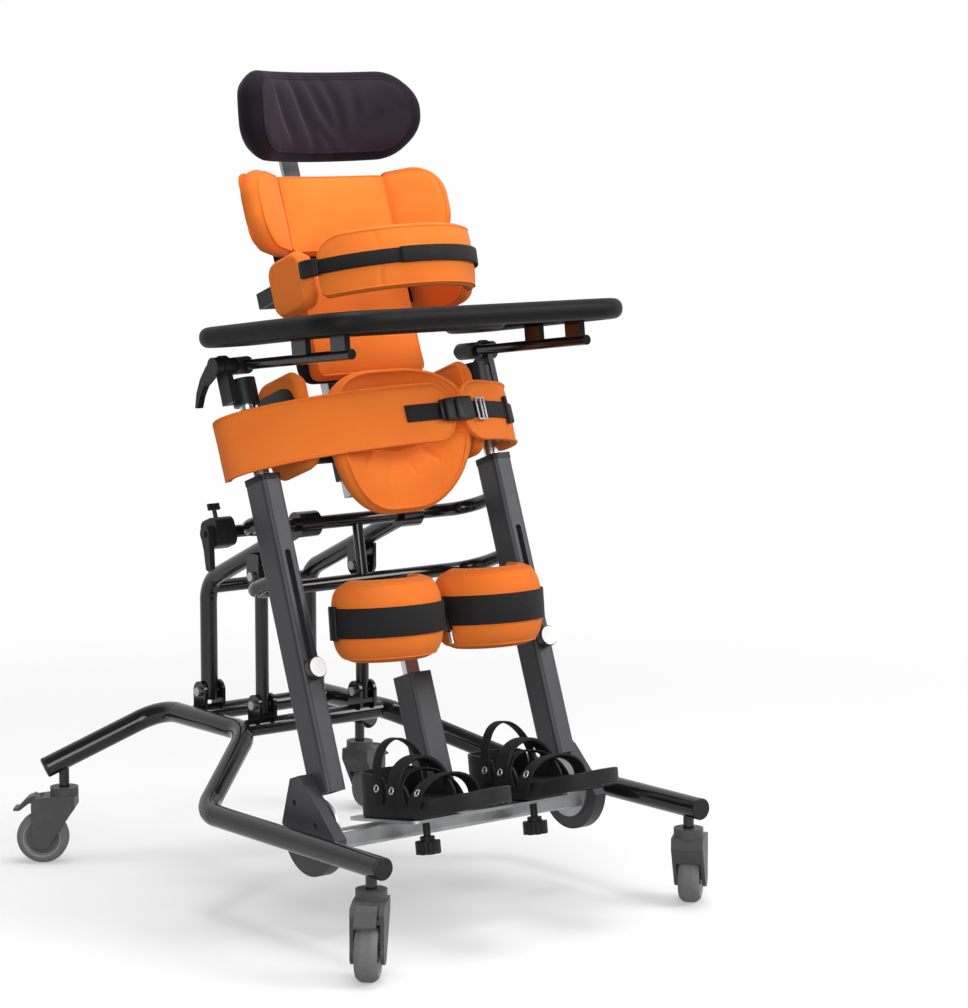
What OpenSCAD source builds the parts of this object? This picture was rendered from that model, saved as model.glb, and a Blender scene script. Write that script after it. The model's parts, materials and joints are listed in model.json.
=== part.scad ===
// Child's standing frame: a castor base, a rear trestle and a tilting column with foot, knee,
// hip, chest and head supports and a tray.
// Millimetres. X to the right seen from the front, the front is -Y, Z up, floor at Z = 0.

/* [Base] */
// Outside diameter of the base tube
tube_d = 30; // [26:1:34]
// Wall of every steel tube
tube_wall = 2; // [1.5:0.5:3]
// Height of the low tube axis above the floor
base_z = 142; // [138:1:150]
// Rise of the middle of the base above its legs
mid_rise = 76; // [60:1:90]
// Half the distance between the front legs
front_half = 270; // [260:1:290]
// Half the distance between the rear ends
rear_half = 289; // [270:1:300]
// Half the distance between the raised middle tubes
mid_half = 128; // [120:1:135]
// Distance from the origin to the front ends
front_reach = 399; // [380:1:420]
// Length of a straight front leg
front_leg = 404; // [390:1:420]
// Depth of the splayed stretch behind a front leg
front_splay = 106; // [95:1:120]
// Length of the raised middle tubes
mid_len = 220; // [205:1:240]
// Depth of the splayed rear stretch
rear_splay = 60; // [50:1:70]
// Radius of the base tube's bends
base_bend_r = 55; // [50:1:60]
// Diameter of the two cross bars
cross_d = 25; // [22:1:28]

/* [Castors] */
// Wheel diameter
wheel_d = 75; // [70:1:78]
// Tyre width
tyre_w = 30; // [26:1:32]
// Distance from the swivel axis back to the axle
trail = 32; // [28:1:34]
// Height of the top of the swivel head
castor_head_z = 112; // [108:1:118]
// Diameter of the swivel stem
stem_d = 15; // [12:1:16]
// Axle diameter
axle_d = 10; // [8:1:12]

/* [Trestle] */
// Half the distance between the trestle legs
leg_half = 88; // [80:1:95]
// Diameter of the bent trestle legs
leg_d = 25; // [22:1:26]
// Diameter of the front struts
strut_d = 19; // [17:1:22]
// Height of the bend in the trestle legs
leg_bend_z = 411; // [395:1:420]
// Bolt diameter
bolt_d = 8; // [6:1:10]

/* [Tilting column] */
// Lean of the column away from upright, in degrees
recline = 20; // [14:1:26]
// Distance of the tilt axis behind the origin
tilt_y = 22; // [10:1:35]
// Height of the tilt axis
tilt_z = 520; // [510:1:535]
// Half the distance between the uprights
upright_half = 198; // [190:1:205]
// Width of an upright
upright_w = 32; // [30:1:36]
// Depth of an upright
upright_t = 46; // [42:1:52]
// Length of an upright
upright_len = 426; // [410:1:440]
// Height of the upper bow on the upright
upper_bow_z = 379; // [370:1:390]
// Height of the lower bow on the upright
lower_bow_z = 295; // [280:1:305]
// Reach of the upper bow behind the uprights' middle
upper_bow_back = 80; // [75:1:90]
// Reach of the lower bow
lower_bow_back = 95; // [90:1:110]
// Tube diameter of the bows
bow_d = 19; // [17:1:20]
// Diameter of the inner posts
post_d = 22; // [20:1:24]
// Length of an inner post
post_len = 430; // [420:1:440]
// Height of an inner post's foot above the upright's foot
post_foot_z = 140; // [135:1:145]
// Height of the clamping knob on the upright
knob_z = 164; // [160:1:170]
// Height travel of the inner posts
height_travel = 160; // [120:1:165]
// Diameter of the clamping knob
knob_d = 30; // [26:1:34]

/* [Feet and knees] */
// Thickness of a foot bracket
bracket_t = 18; // [15:1:20]
// Radius of a foot bracket's round foot
bracket_r = 60; // [55:1:64]
// Section of the foot beam
beam_w = 26; // [22:1:28]
// Thickness of the foot plate
plate_t = 4; // [3:0.5:5]
// Half the distance between the sandals
sandal_half = 92; // [86:1:96]
// Sandal length
sandal_len = 270; // [250:1:285]
// Sandal width
sandal_w = 98; // [90:1:104]
// Height of the knee housing
housing_h = 186; // [175:1:190]
// Radius of a knee cup's outside
cup_r = 65; // [60:1:68]
// Thickness of a knee cup
cup_t = 20; // [16:1:22]
// Height of a knee cup
cup_h = 110; // [104:1:118]

/* [Tray] */
// Tray width
tray_w = 515; // [490:1:530]
// Tray depth
tray_depth = 345; // [330:1:360]
// Thickness of the tray's padded rim
rim_t = 28; // [24:1:32]
// Width of the tray's rim
rim_w = 26; // [22:1:30]
// Width of the body cut-out
cutout_w = 314; // [310:1:330]
// Depth of the body cut-out
cutout_depth = 158; // [150:1:170]
// Diameter of the tray rods
rod_d = 14; // [12:1:15]
// Slope of the rods below the column's square, in degrees
rod_drop = 13; // [10:1:16]

/* [Pads] */
// Width of the back panels
back_w = 190; // [180:1:200]
// Thickness of the back panels
back_t = 36; // [32:1:40]
// Height of the upper back panel
upper_back_h = 118; // [110:1:122]
// Height of the lower back panel
lower_back_h = 158; // [150:1:162]
// Width of the head pad
head_w = 300; // [285:1:310]
// Height of the head pad
head_h = 126; // [118:1:134]
// Radius of the chest pad's outside
chest_r = 142; // [138:1:146]
// Height of the chest pad
chest_h = 88; // [80:1:96]
// Height of the hip belt
belt_h = 86; // [76:1:90]

/* [Hidden] */
$fn = 48;

// Clearances
run_gap = 0.06;
free_gap = 0.4;
soft_gap = 0.3;
slip = 0.1;

// Small helpers
function unit(v) = v / norm(v);
function corner_angle(a, b, c) = acos(unit(a - b) * unit(c - b));
function tangent_len(a, b, c, r) = r / tan(corner_angle(a, b, c) / 2);

// A straight round bar from a to b; a bore makes it a tube
module rod(a, b, d, bore = 0) {
    v = b - a;
    translate(a)
        rotate([0, acos(v.z / norm(v)), atan2(v.y, v.x)])
            linear_extrude(height = norm(v))
                ring(d, bore);
}

module ring(d, bore) {
    difference() {
        circle(d = d);
        if (bore > 0)
            circle(d = bore);
    }
}

module tube_bend(a, b, c, r, d, bore) {
    u = unit(a - b);
    w = unit(c - b);
    ang = corner_angle(a, b, c);
    mid = b + unit(u + w) * r / sin(ang / 2);
    e = unit(b + u * r / tan(ang / 2) - mid);
    n = cross(e, -u);
    multmatrix([[e.x, -u.x, n.x, mid.x], [e.y, -u.y, n.y, mid.y], [e.z, -u.z, n.z, mid.z], [0, 0, 0, 1]])
        rotate_extrude(angle = 180 - ang)
            translate([r, 0])
                ring(d, bore);
}

// A bar or tube along points, with its corners bent to radius r. A bend swells a little, and the
// straight runs reach a little way into it.
bend_swell = 0.2;
bend_lap = 2;
module bent_rod(pts, r, d, bore = 0) {
    last = len(pts) - 1;
    for (i = [0 : last - 1]) {
        along = unit(pts[i + 1] - pts[i]);
        cut_a = i == 0 ? 0 : tangent_len(pts[i - 1], pts[i], pts[i + 1], r);
        cut_b = i == last - 1 ? 0 : tangent_len(pts[i], pts[i + 1], pts[i + 2], r);
        lap_a = i == 0 ? 0 : bend_lap;
        lap_b = i == last - 1 ? 0 : bend_lap;
        rod(pts[i] + along * (cut_a - lap_a), pts[i + 1] - along * (cut_b - lap_b), d, bore);
    }
    for (i = [1 : 1 : last - 1])
        tube_bend(pts[i - 1], pts[i], pts[i + 1], r, d + 2 * bend_swell, max(bore - 2 * bend_swell, 0));
}

module round_rect(w, h, r) {
    square([w - 2 * r, h], center = true);
    square([w, h - 2 * r], center = true);
    for (sx = [-1, 1], sy = [-1, 1])
        translate([sx * (w / 2 - r), sy * (h / 2 - r)])
            circle(r = r);
}

module round_block(w, t, h, r) {
    linear_extrude(height = h)
        round_rect(w, t, r);
}

module both_sides() {
    children();
    mirror([1, 0, 0])
        children();
}

// A point of the column frame: X sideways, Y back from the uprights' middle, Z up along them
module leaned() {
    translate([0, tilt_y, tilt_z])
        rotate([-recline, 0, 0])
            translate([0, -upper_bow_back, -upper_bow_z])
                children();
}

// A cushion lying in XZ with its face towards -Y: crowned, drawn in between its corners, its face
// and back meeting in one seam. bow curves it about Z; channel is a sewn line across or along it.
function swell(u, v, chan) =
    pow((1 - pow(abs(u), 4)) * (1 - pow(abs(v), 4)), 0.5) * (1 - chan * exp(-pow(v / 0.12, 2)));
function pad_point(w, h, u, v, k, pull) =
    [w / 2 * u * sqrt(1 - k * v * v) * (1 - pull * (1 - v * v)),
     h / 2 * v * sqrt(1 - k * u * u) * (1 - pull * (1 - u * u))];
function bow_shift(x, bow) = bow == 0 ? 0 : bow - sign(bow) * sqrt(bow * bow - x * x);

module cushion(w, h, face, back, k = 0.2, pull = 0.02, bow = 0, chan = 0, steps = 12) {
    n = steps;
    us = [for (i = [0 : n]) sin(90 * (2 * i / n - 1))];
    front_pts = [for (j = [0 : n], i = [0 : n])
        let (p = pad_point(w, h, us[i], us[j], k, pull))
        [p.x, -face * swell(us[i], us[j], chan) - bow_shift(p.x, bow), p.y]];
    back_pts = [for (j = [1 : n - 1], i = [1 : n - 1])
        let (p = pad_point(w, h, us[i], us[j], k, pull))
        [p.x, back * swell(us[i], us[j], 0) - bow_shift(p.x, bow), p.y]];
    count = (n + 1) * (n + 1);
    rim = function (i, j) i == 0 || j == 0 || i == n || j == n;
    fid = function (i, j) j * (n + 1) + i;
    bid = function (i, j) rim(i, j) ? fid(i, j) : count + (j - 1) * (n - 1) + i - 1;
    falling = function (i, j) (2 * i < n) == (2 * j < n);
    faces = [for (j = [0 : n - 1], i = [0 : n - 1]) each falling(i, j)
        ? [[fid(i, j), fid(i, j + 1), fid(i + 1, j + 1)], [fid(i, j), fid(i + 1, j + 1), fid(i + 1, j)],
           [bid(i, j), bid(i + 1, j + 1), bid(i, j + 1)], [bid(i, j), bid(i + 1, j), bid(i + 1, j + 1)]]
        : [[fid(i, j), fid(i, j + 1), fid(i + 1, j)], [fid(i + 1, j), fid(i, j + 1), fid(i + 1, j + 1)],
           [bid(i, j), bid(i + 1, j), bid(i, j + 1)], [bid(i + 1, j), bid(i + 1, j + 1), bid(i, j + 1)]]];
    polyhedron(concat(front_pts, back_pts), faces);
}

// Section of a curved pad of outer radius r, thickness t and height h, thinner at its two edges
module pad_section(r, t, h) {
    polygon([[r - t + 6, -h / 2], [r - 6, -h / 2 + 2], [r - 1, -h / 4], [r, 0], [r - 1, h / 4],
        [r - 6, h / 2 - 2], [r - t + 6, h / 2], [r - t + 1, h / 4], [r - t, 0], [r - t + 1, -h / 4]]);
}

// Base points
mid_z = base_z + mid_rise;
leg_end_y = -front_reach + front_leg;
front_bar_y = leg_end_y + front_splay + 20;
mid_rear_y = leg_end_y + front_splay + mid_len;
rear_bar_y = mid_rear_y - 64;
rear_end_y = mid_rear_y + rear_splay;
side_path = [[-front_half, -front_reach, base_z],
    [-front_half, leg_end_y, base_z],
    [-mid_half, leg_end_y + front_splay, mid_z],
    [-mid_half, mid_rear_y, mid_z],
    [-rear_half, rear_end_y, base_z]];
rear_dir = unit(side_path[4] - side_path[3]);
stem_inset = 27;
front_stem = [-front_half, -front_reach + stem_inset - 4];
rear_stem = [side_path[4].x - rear_dir.x * stem_inset, side_path[4].y - rear_dir.y * stem_inset];
rear_stem_z = base_z - rear_dir.z * stem_inset;

// Clevises that carry the trestle
clevis_gap = 0.5;
clevis_t = 5;
clevis_w = 30;
pin_rise = 32;
rear_pin = [rear_bar_y, mid_z + pin_rise];
front_pin = [front_bar_y, mid_z + pin_rise];

module clevis(pin_y, pin_z, inner, drop) {
    for (s = [-1, 1])
        translate([s * (inner / 2 + clevis_gap + clevis_t / 2), pin_y, pin_z])
            rotate([90, 0, 90])
                difference() {
                    linear_extrude(height = clevis_t, center = true)
                        union() {
                            circle(d = clevis_w);
                            translate([-clevis_w / 2, -drop])
                                square([clevis_w, drop]);
                        }
                    cylinder(h = 2 * clevis_t, d = bolt_d + 2 * slip, center = true);
                }
}

bar_end = mid_half - tube_d / 6;
module base_frame() {
    color("#1c1d1f")
        union() {
            difference() {
                both_sides()
                    bent_rod(side_path, base_bend_r, tube_d, tube_d - 2 * tube_wall);
                both_sides()
                    for (p = [[front_stem, base_z], [rear_stem, rear_stem_z]])
                        translate([p[0].x, p[0].y, p[1] - tube_d])
                            cylinder(h = tube_d, d = stem_d + 2 * slip);
            }
            for (y = [front_bar_y, rear_bar_y])
                rod([-bar_end, y, mid_z], [bar_end, y, mid_z], cross_d);
            both_sides() {
                translate([leg_half, 0, 0])
                    clevis(rear_pin[0], rear_pin[1], leg_d, pin_rise - cross_d / 2 + 4);
                translate([leg_half, 0, 0])
                    clevis(front_pin[0], front_pin[1], strut_d, pin_rise - cross_d / 2 + 4);
            }
        }
}

cap_t = 4;
module tube_cap(at, dir) {
    translate(at)
        rotate([0, acos(dir.z), atan2(dir.y, dir.x)])
            rotate_extrude()
                polygon([[0, -14], [tube_d / 2 - tube_wall - slip, -14], [tube_d / 2 - tube_wall - slip, 0],
                    [tube_d / 2, 0], [tube_d / 2, cap_t - 1.5], [tube_d / 2 - 1.5, cap_t], [0, cap_t]]);
}

module tube_caps() {
    color("#3a3b3d")
        both_sides() {
            tube_cap(side_path[0], [0, -1, 0]);
            tube_cap(side_path[4], rear_dir);
        }
}

// Castors: [x, y, stem top, heading of the trail]
castors = [[front_stem.x, front_stem.y, base_z, 226],
    [-front_stem.x, front_stem.y, base_z, 41],
    [rear_stem.x, rear_stem.y, rear_stem_z, 141],
    [-rear_stem.x, rear_stem.y, rear_stem_z, 27]];
wheel_r = wheel_d / 2;
swivel_d = 41;
swivel_h = 12;
cheek_t = 5;
cheek_gap = 2;
fork_w = tyre_w + 2 * (cheek_gap + cheek_t);
head_bore_depth = 15;
hood_gap = 4;
pedal_pin = [trail + 6, castor_head_z - swivel_h - 8];
pedal_pin_d = 5;
pedal_w = tyre_w - 2;

module at_castor(c) {
    translate([castors[c].x, castors[c].y, 0])
        rotate([0, 0, castors[c][3]])
            children();
}

module castor_stems() {
    color("#9a9da0")
        for (c = castors)
            translate([c.x, c.y, castor_head_z - head_bore_depth])
                cylinder(h = c.z - castor_head_z + head_bore_depth - 4, d = stem_d);
}

module fork_side() {
    polygon([[-17, castor_head_z - swivel_h], [-18, castor_head_z - swivel_h - 16],
        [trail - 15, wheel_r - 4], [trail + 13, wheel_r + 4], [trail + 14, castor_head_z - swivel_h - 12],
        [trail + 11, castor_head_z - swivel_h - 3], [20, castor_head_z - swivel_h]]);
    translate([trail, wheel_r])
        circle(r = 15);
}

module castor_fork(c) {
    color("#525354")
        at_castor(c)
            difference() {
                union() {
                    rotate([90, 0, 0])
                        linear_extrude(height = fork_w, center = true)
                            fork_side();
                    translate([0, 0, castor_head_z - swivel_h - 1])
                        cylinder(h = swivel_h + 1, d = swivel_d);
                }
                difference() {
                    union() {
                        translate([trail, 0, wheel_r])
                            rotate([90, 0, 0])
                                cylinder(h = tyre_w + 2 * cheek_gap, r = wheel_r + hood_gap, center = true);
                        translate([trail - 1, -pedal_w / 2 - 1, castor_head_z - swivel_h - 17])
                            cube([40, pedal_w + 2, 40]);
                    }
                    translate([trail, 0, wheel_r])
                        rotate([90, 0, 0])
                            cylinder(h = fork_w, d = axle_d, center = true);
                    translate([pedal_pin.x, 0, pedal_pin.y])
                        rotate([90, 0, 0])
                            cylinder(h = fork_w, d = pedal_pin_d, center = true);
                }
                translate([0, 0, castor_head_z - head_bore_depth - 1])
                    cylinder(h = head_bore_depth + 2, d = stem_d + 2 * run_gap);
            }
}

module castor_wheel(c) {
    hub_r = wheel_r - 12;
    side = tyre_w / 2;
    dish = 5;
    boss_r = axle_d / 2 + 7;
    bore_r = axle_d / 2 + run_gap;
    half = [[bore_r, side - 1], [boss_r, side - 1], [boss_r + 2, side - dish], [hub_r - 2, side - dish],
        [hub_r, side - 1], [hub_r + 4, side], [wheel_r - 5, side - 1], [wheel_r - 1.5, side - 5],
        [wheel_r, side - 9]];
    color("#6c6e70")
        at_castor(c)
            translate([trail, 0, wheel_r])
                rotate([90, 0, 0])
                    rotate_extrude()
                        polygon(concat(half, [for (k = [len(half) - 1 : -1 : 0]) [half[k].x, -half[k].y]]));
}

module brake_pedal(c) {
    color("#474849")
        at_castor(c)
            translate([pedal_pin.x, 0, pedal_pin.y])
                rotate([90, 0, 0])
                    difference() {
                        union() {
                            cylinder(h = pedal_w - 2, d = pedal_pin_d + 6, center = true);
                            linear_extrude(height = pedal_w, center = true)
                                polygon([[-1, 4], [5, 9], [16, 4], [29, -10], [35, -11],
                                    [35, -14], [26, -14], [12, -3], [-1, -4]]);
                        }
                        cylinder(h = pedal_w + 2, d = pedal_pin_d + 2 * run_gap, center = true);
                    }
}

// Trestle behind the column
eye_d = 36;
eye_w = 34;
eye_gap = 0.08;
leg_foot = 12;
leg_bend_r = 45;
diag_end = eye_d / 2 - 4;
diag_dir = unit([0, tilt_y - rear_pin[0], tilt_z - leg_bend_z]);
strut_top_z = leg_bend_z + (rear_pin[0] - front_pin[0]) * -diag_dir.z / diag_dir.y - leg_d / 2 - 24;
ear_mid = (strut_d + clevis_t) / 2 + clevis_gap;
ear_rise = 32;
tie_d = 19;
tie_y = rear_pin[0] - 8;
tie_z = leg_bend_z - 8;
bolt_bore = bolt_d + 2 * slip;

module trestle_frame() {
    color("#1c1d1f")
        difference() {
            union() {
                both_sides() {
                    bent_rod([[leg_half, rear_pin[0], rear_pin[1] - leg_foot],
                        [leg_half, rear_pin[0], leg_bend_z],
                        [leg_half, tilt_y - diag_dir.y * diag_end, tilt_z - diag_dir.z * diag_end]],
                        leg_bend_r, leg_d);
                    rod([leg_half - eye_w / 2, tilt_y, tilt_z],
                        [leg_half + eye_w / 2, tilt_y, tilt_z], eye_d);
                    translate([leg_half, 0, 0])
                        clevis(front_pin[0], strut_top_z, strut_d, -24);
                    for (s = [-1, 1])
                        translate([leg_half + s * ear_mid - clevis_t / 2,
                            front_pin[0] - clevis_w / 2, strut_top_z])
                            cube([clevis_t, clevis_w, ear_rise]);
                }
                rod([-leg_half, tie_y, tie_z], [leg_half, tie_y, tie_z], tie_d);
            }
            rod([-leg_half - eye_w, tilt_y, tilt_z], [leg_half + eye_w, tilt_y, tilt_z], bow_d + 2 * eye_gap);
            both_sides() {
                rod([0, rear_pin[0], rear_pin[1]], [2 * leg_half, rear_pin[0], rear_pin[1]], bolt_bore);
                rod([0, front_pin[0], strut_top_z], [2 * leg_half, front_pin[0], strut_top_z], bolt_bore);
            }
        }
}

module trestle_struts() {
    color("#1c1d1f")
        both_sides()
            difference() {
                rod([leg_half, front_pin[0], front_pin[1] - leg_foot],
                    [leg_half, front_pin[0], strut_top_z + leg_foot], strut_d);
                rod([leg_half, front_pin[0], front_pin[1] - leg_foot - 1],
                    [leg_half, front_pin[0], strut_top_z + leg_foot + 1], strut_d - 2 * tube_wall);
                for (z = [front_pin[1], strut_top_z])
                    rod([0, front_pin[0], z], [2 * leg_half, front_pin[0], z], bolt_bore);
            }
}

module bolt(at, span) {
    grip = span / 2 + clevis_gap + clevis_t;
    translate(at)
        rotate([0, 90, 0]) {
            cylinder(h = 2 * grip, d = bolt_d, center = true);
            translate([0, 0, grip])
                cylinder(h = 5, d = 1.6 * bolt_d);
            translate([0, 0, -grip - 5])
                cylinder(h = 5, d = 1.6 * bolt_d);
        }
}

module trestle_bolts() {
    color("#8d9092")
        both_sides() {
            bolt([leg_half, rear_pin[0], rear_pin[1]], leg_d);
            bolt([leg_half, front_pin[0], front_pin[1]], strut_d);
            bolt([leg_half, front_pin[0], strut_top_z], strut_d);
        }
}

// Tilting column
slot_w = 9;
stud_d = 8;
cap_h = 8;
cap_lip = 1;
upright_wall = 3;
side_bore = upright_t / 2 - post_d / 2 - 2 * upright_wall;
side_bore_w = upright_w - 2 * upright_wall - 6;
guide_gap = 0.5;
side_bore_y = upright_t / 4 + post_d / 4 - upright_wall / 2 + guide_gap;

module uprights() {
    color("#3b3c3f")
        leaned()
            both_sides()
                translate([upright_half, 0, 0])
                    difference() {
                        round_block(upright_w, upright_t, upright_len, 7);
                        translate([0, 0, -1])
                            cylinder(h = upright_len + 2, d = post_d + 2 * guide_gap);
                        for (s = [-1, 1])
                            translate([0, s * side_bore_y, -1])
                                round_block(side_bore_w, side_bore, upright_len + 2, 1.5);
                        translate([0, -upright_t / 2, knob_z + height_travel / 2])
                            rotate([90, 0, 0])
                                linear_extrude(height = upright_t - upright_wall, center = true)
                                    round_rect(slot_w, height_travel + slot_w, slot_w / 2 - 0.01);
                    }
}

module upright_caps() {
    color("#141415")
        leaned()
            both_sides()
                translate([upright_half, 0, upright_len])
                    difference() {
                        round_block(upright_w + 2 * cap_lip, upright_t + 2 * cap_lip, cap_h, 8);
                        translate([0, 0, -1])
                            cylinder(h = cap_h + 2, d = post_d + 2 * run_gap);
                    }
}

bow_bend_r = 34;
brace_d = 15;
stub_end = upright_half + 18;
stub_d = bow_d - 2;
module bow(z, back) {
    start = upright_t / 2;
    bent_rod([[-upright_half, start, z], [-upright_half, back, z],
        [upright_half, back, z], [upright_half, start, z]], bow_bend_r, bow_d);
}

module rear_bows() {
    color("#1c1d1f")
        leaned()
            union() {
                bow(upper_bow_z, upper_bow_back);
                bow(lower_bow_z, lower_bow_back);
                rod([0, upper_bow_back, upper_bow_z], [0, lower_bow_back, lower_bow_z], brace_d);
                rod([-stub_end, upper_bow_back, upper_bow_z],
                    [-upright_half + bow_bend_r + bend_lap, upper_bow_back, upper_bow_z], stub_d);
            }
}

// Hand clamp on the left end of the tilt axis
clamp_w = 30;
clamp_d = 40;
lever_t = 8;
lever_pin_d = 8;
module tilt_clamp() {
    color("#18181a")
        leaned()
            translate([-stub_end, upper_bow_back, upper_bow_z])
                rotate([0, -90, 0]) {
                    round_block(clamp_d, clamp_d, clamp_w, 12);
                    translate([0, 0, clamp_w])
                        cylinder(h = lever_t + 3, d = lever_pin_d);
                    translate([clamp_d / 2, 0, clamp_w / 2])
                        rotate([0, 90, 0])
                            union() {
                                cylinder(h = 14, d = 6);
                                translate([-9, -2, 12])
                                    cube([18, 4, 9]);
                            }
                }
}

module tilt_lever() {
    color("#202022")
        leaned()
            translate([-stub_end - clamp_w - free_gap, upper_bow_back, upper_bow_z])
                rotate([0, -90, 0])
                    difference() {
                        linear_extrude(height = lever_t)
                            union() {
                                circle(d = 22);
                                polygon([[0, 10], [-20, 10], [-46, 14], [-50, 10],
                                    [-48, 3], [-20, -5], [0, -10]]);
                            }
                        translate([0, 0, -1])
                            cylinder(h = lever_t + 2, d = lever_pin_d + 2 * run_gap);
                    }
}

// Feet
bracket_in = upright_half + upright_w / 2;
disc_y = 13;
disc_z = -45;
apex_z = 30;
beam_y = -8;
plate_drop = 58;
plate_top = beam_w / 2 - plate_drop + plate_t;
plate_front = 92;
plate_back = 62;
plate_half = 136;
foot_screw_d = 8;
foot_tilt = 12;
foot_screws = [[33, -2], [-4, -40]];
foot_stud_y = -58;
foot_stud_d = 10;

// The foot plate's own angle, set about the discs of the side plates
module footed() {
    leaned()
        translate([0, disc_y, disc_z])
            rotate([foot_tilt, 0, 0])
                translate([0, -disc_y, -disc_z])
                    children();
}

module foot_brackets() {
    color("#1b1b1c")
        leaned()
            both_sides()
                translate([bracket_in, 0, 0])
                    rotate([90, 0, 90])
                        difference() {
                            linear_extrude(height = bracket_t)
                                union() {
                                    intersection() {
                                        translate([disc_y, disc_z])
                                            circle(r = bracket_r);
                                        polygon([[8, apex_z], [34, apex_z], [74, -24],
                                            [90, -120], [-70, -120], [-46, -74]]);
                                    }
                                    polygon([[10, apex_z], [32, apex_z], [72, -24], [-19, -24]]);
                                }
                            for (p = foot_screws)
                                translate([p.x, p.y, -1])
                                    cylinder(h = bracket_t + 2, d = foot_screw_d);
                        }
}

module foot_beam() {
    flange_r = bracket_r - 18;
    flange_t = 4;
    color("#b9bdbf")
        footed()
            difference() {
                union() {
                    translate([0, beam_y, -58])
                        rotate([0, 90, 0])
                            translate([0, 0, -bracket_in])
                                round_block(beam_w, beam_w, 2 * bracket_in, 5);
                    both_sides()
                        translate([bracket_in - flange_t, disc_y, disc_z])
                            rotate([0, 90, 0])
                                cylinder(h = flange_t, r = flange_r);
                    translate([0, (plate_back - plate_front) / 2, plate_top - plate_t])
                        round_block(2 * plate_half, plate_front + plate_back, plate_t, 14);
                }
                translate([-bracket_in - 1, beam_y, -58])
                    rotate([0, 90, 0])
                        round_block(beam_w - 2 * tube_wall, beam_w - 2 * tube_wall, 2 * bracket_in + 2, 3);
                both_sides()
                    translate([sandal_half, foot_stud_y, plate_top - plate_t - 1])
                        cylinder(h = plate_t + 2, d = foot_stud_d + 2 * slip + 1);
            }
}

// Knee support
housing_w = 38;
housing_t = 44;
housing_y = 30;
housing_foot = 6;
housing_floor = 12;
bar_w = 22;
bar_t = 10;
bar_hole_d = 6;
bar_hole_step = 20;
knee_y = -48;
knee_z = 207;
cup_half = 82;
arm_y = knee_y - 10;
pivot_half = 14;
ear_d = 24;
pivot_d = 8;
bar_top = 214;
bar_foot = 10;
cross_w = 16;
cross_z = bar_top - 28;
cross_edge = 9;
pin_drop = 18;
pin_len = 52;
ear_h = 14;

module knee_housing() {
    color("#1a1a1b")
        difference() {
            leaned()
                translate([0, housing_y, plate_top])
                    difference() {
                        translate([0, 0, -housing_foot])
                            round_block(housing_w, housing_t, housing_h + housing_foot, 5);
                        translate([-bar_w / 2 - free_gap, -bar_t / 2 - free_gap, housing_floor])
                            cube([bar_w + 2 * free_gap, bar_t + 2 * free_gap, housing_h]);
                        translate([0, 0, housing_h - 40])
                            rotate([0, 90, 0])
                                cylinder(h = housing_w, d = 8);
                    }
            footed()
                translate([-housing_w, -plate_front, plate_top + slip - 2 * plate_front])
                    cube([2 * housing_w, 2 * plate_front, 2 * plate_front]);
        }
}

module knee_bar() {
    color("#a9adaf")
        leaned()
            difference() {
                union() {
                    translate([-bar_w / 2, housing_y - bar_t / 2, bar_foot])
                        cube([bar_w, bar_t, bar_top - bar_foot]);
                    translate([-cross_w / 2, arm_y, cross_z])
                        cube([cross_w, housing_y - arm_y, cross_w]);
                    translate([-pivot_half - cross_edge, arm_y - cross_edge, cross_z])
                        cube([2 * (pivot_half + cross_edge), 2 * cross_edge, cross_w]);
                    for (s = [-1, 1])
                        translate([s * pivot_half, arm_y, cross_z - pin_drop])
                            cylinder(h = pin_len, d = pivot_d);
                }
                for (k = [0 : 4])
                    translate([0, housing_y, 60 + k * bar_hole_step])
                        rotate([90, 0, 0])
                            cylinder(h = 2 * bar_t, d = bar_hole_d, center = true);
            }
}

ear_gap = 0.5;
module knee_cup(side) {
    ear_x = side * pivot_half;
    color("#e97230")
        leaned()
            difference() {
                union() {
                    translate([side * cup_half, knee_y, knee_z])
                        rotate([0, 0, 180 - 8])
                            rotate_extrude(angle = 196)
                                pad_section(cup_r, cup_t, cup_h);
                    for (z = [cross_z - ear_h, cross_z + cross_w + ear_gap])
                        translate([ear_x, arm_y, z])
                            cylinder(h = ear_h - ear_gap, d = ear_d);
                }
                translate([ear_x, arm_y, knee_z - cup_h])
                    cylinder(h = 2 * cup_h, d = pivot_d + 2 * run_gap);
                translate([ear_x, arm_y, cross_z - ear_gap])
                    cylinder(h = cross_w + 2 * ear_gap, d = ear_d + cross_edge);
            }
}

// Sandals
sole_t = 22;
heel_r = sandal_w / 2 - 8;
heel_y = 54;
toe_r = sandal_w / 2;
heel_h = 48;
heel_len = 70;
strap_w = 24;
strap_t = 3;
sole_z = plate_top + soft_gap;
strap_r = sandal_w / 2 - 6;

module sole_outline(grow) {
    heel_c = heel_y - heel_r;
    toe_c = heel_y - sandal_len + toe_r;
    translate([0, heel_c])
        circle(r = heel_r + grow);
    translate([0, toe_c])
        circle(r = toe_r + grow);
    waist = heel_r - 2 + grow;
    waist_y = heel_c - 60;
    polygon([[-heel_r - grow, heel_c], [heel_r + grow, heel_c], [waist, waist_y], [toe_r + grow, toe_c],
        [-toe_r - grow, toe_c], [-waist, waist_y]]);
}

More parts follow.
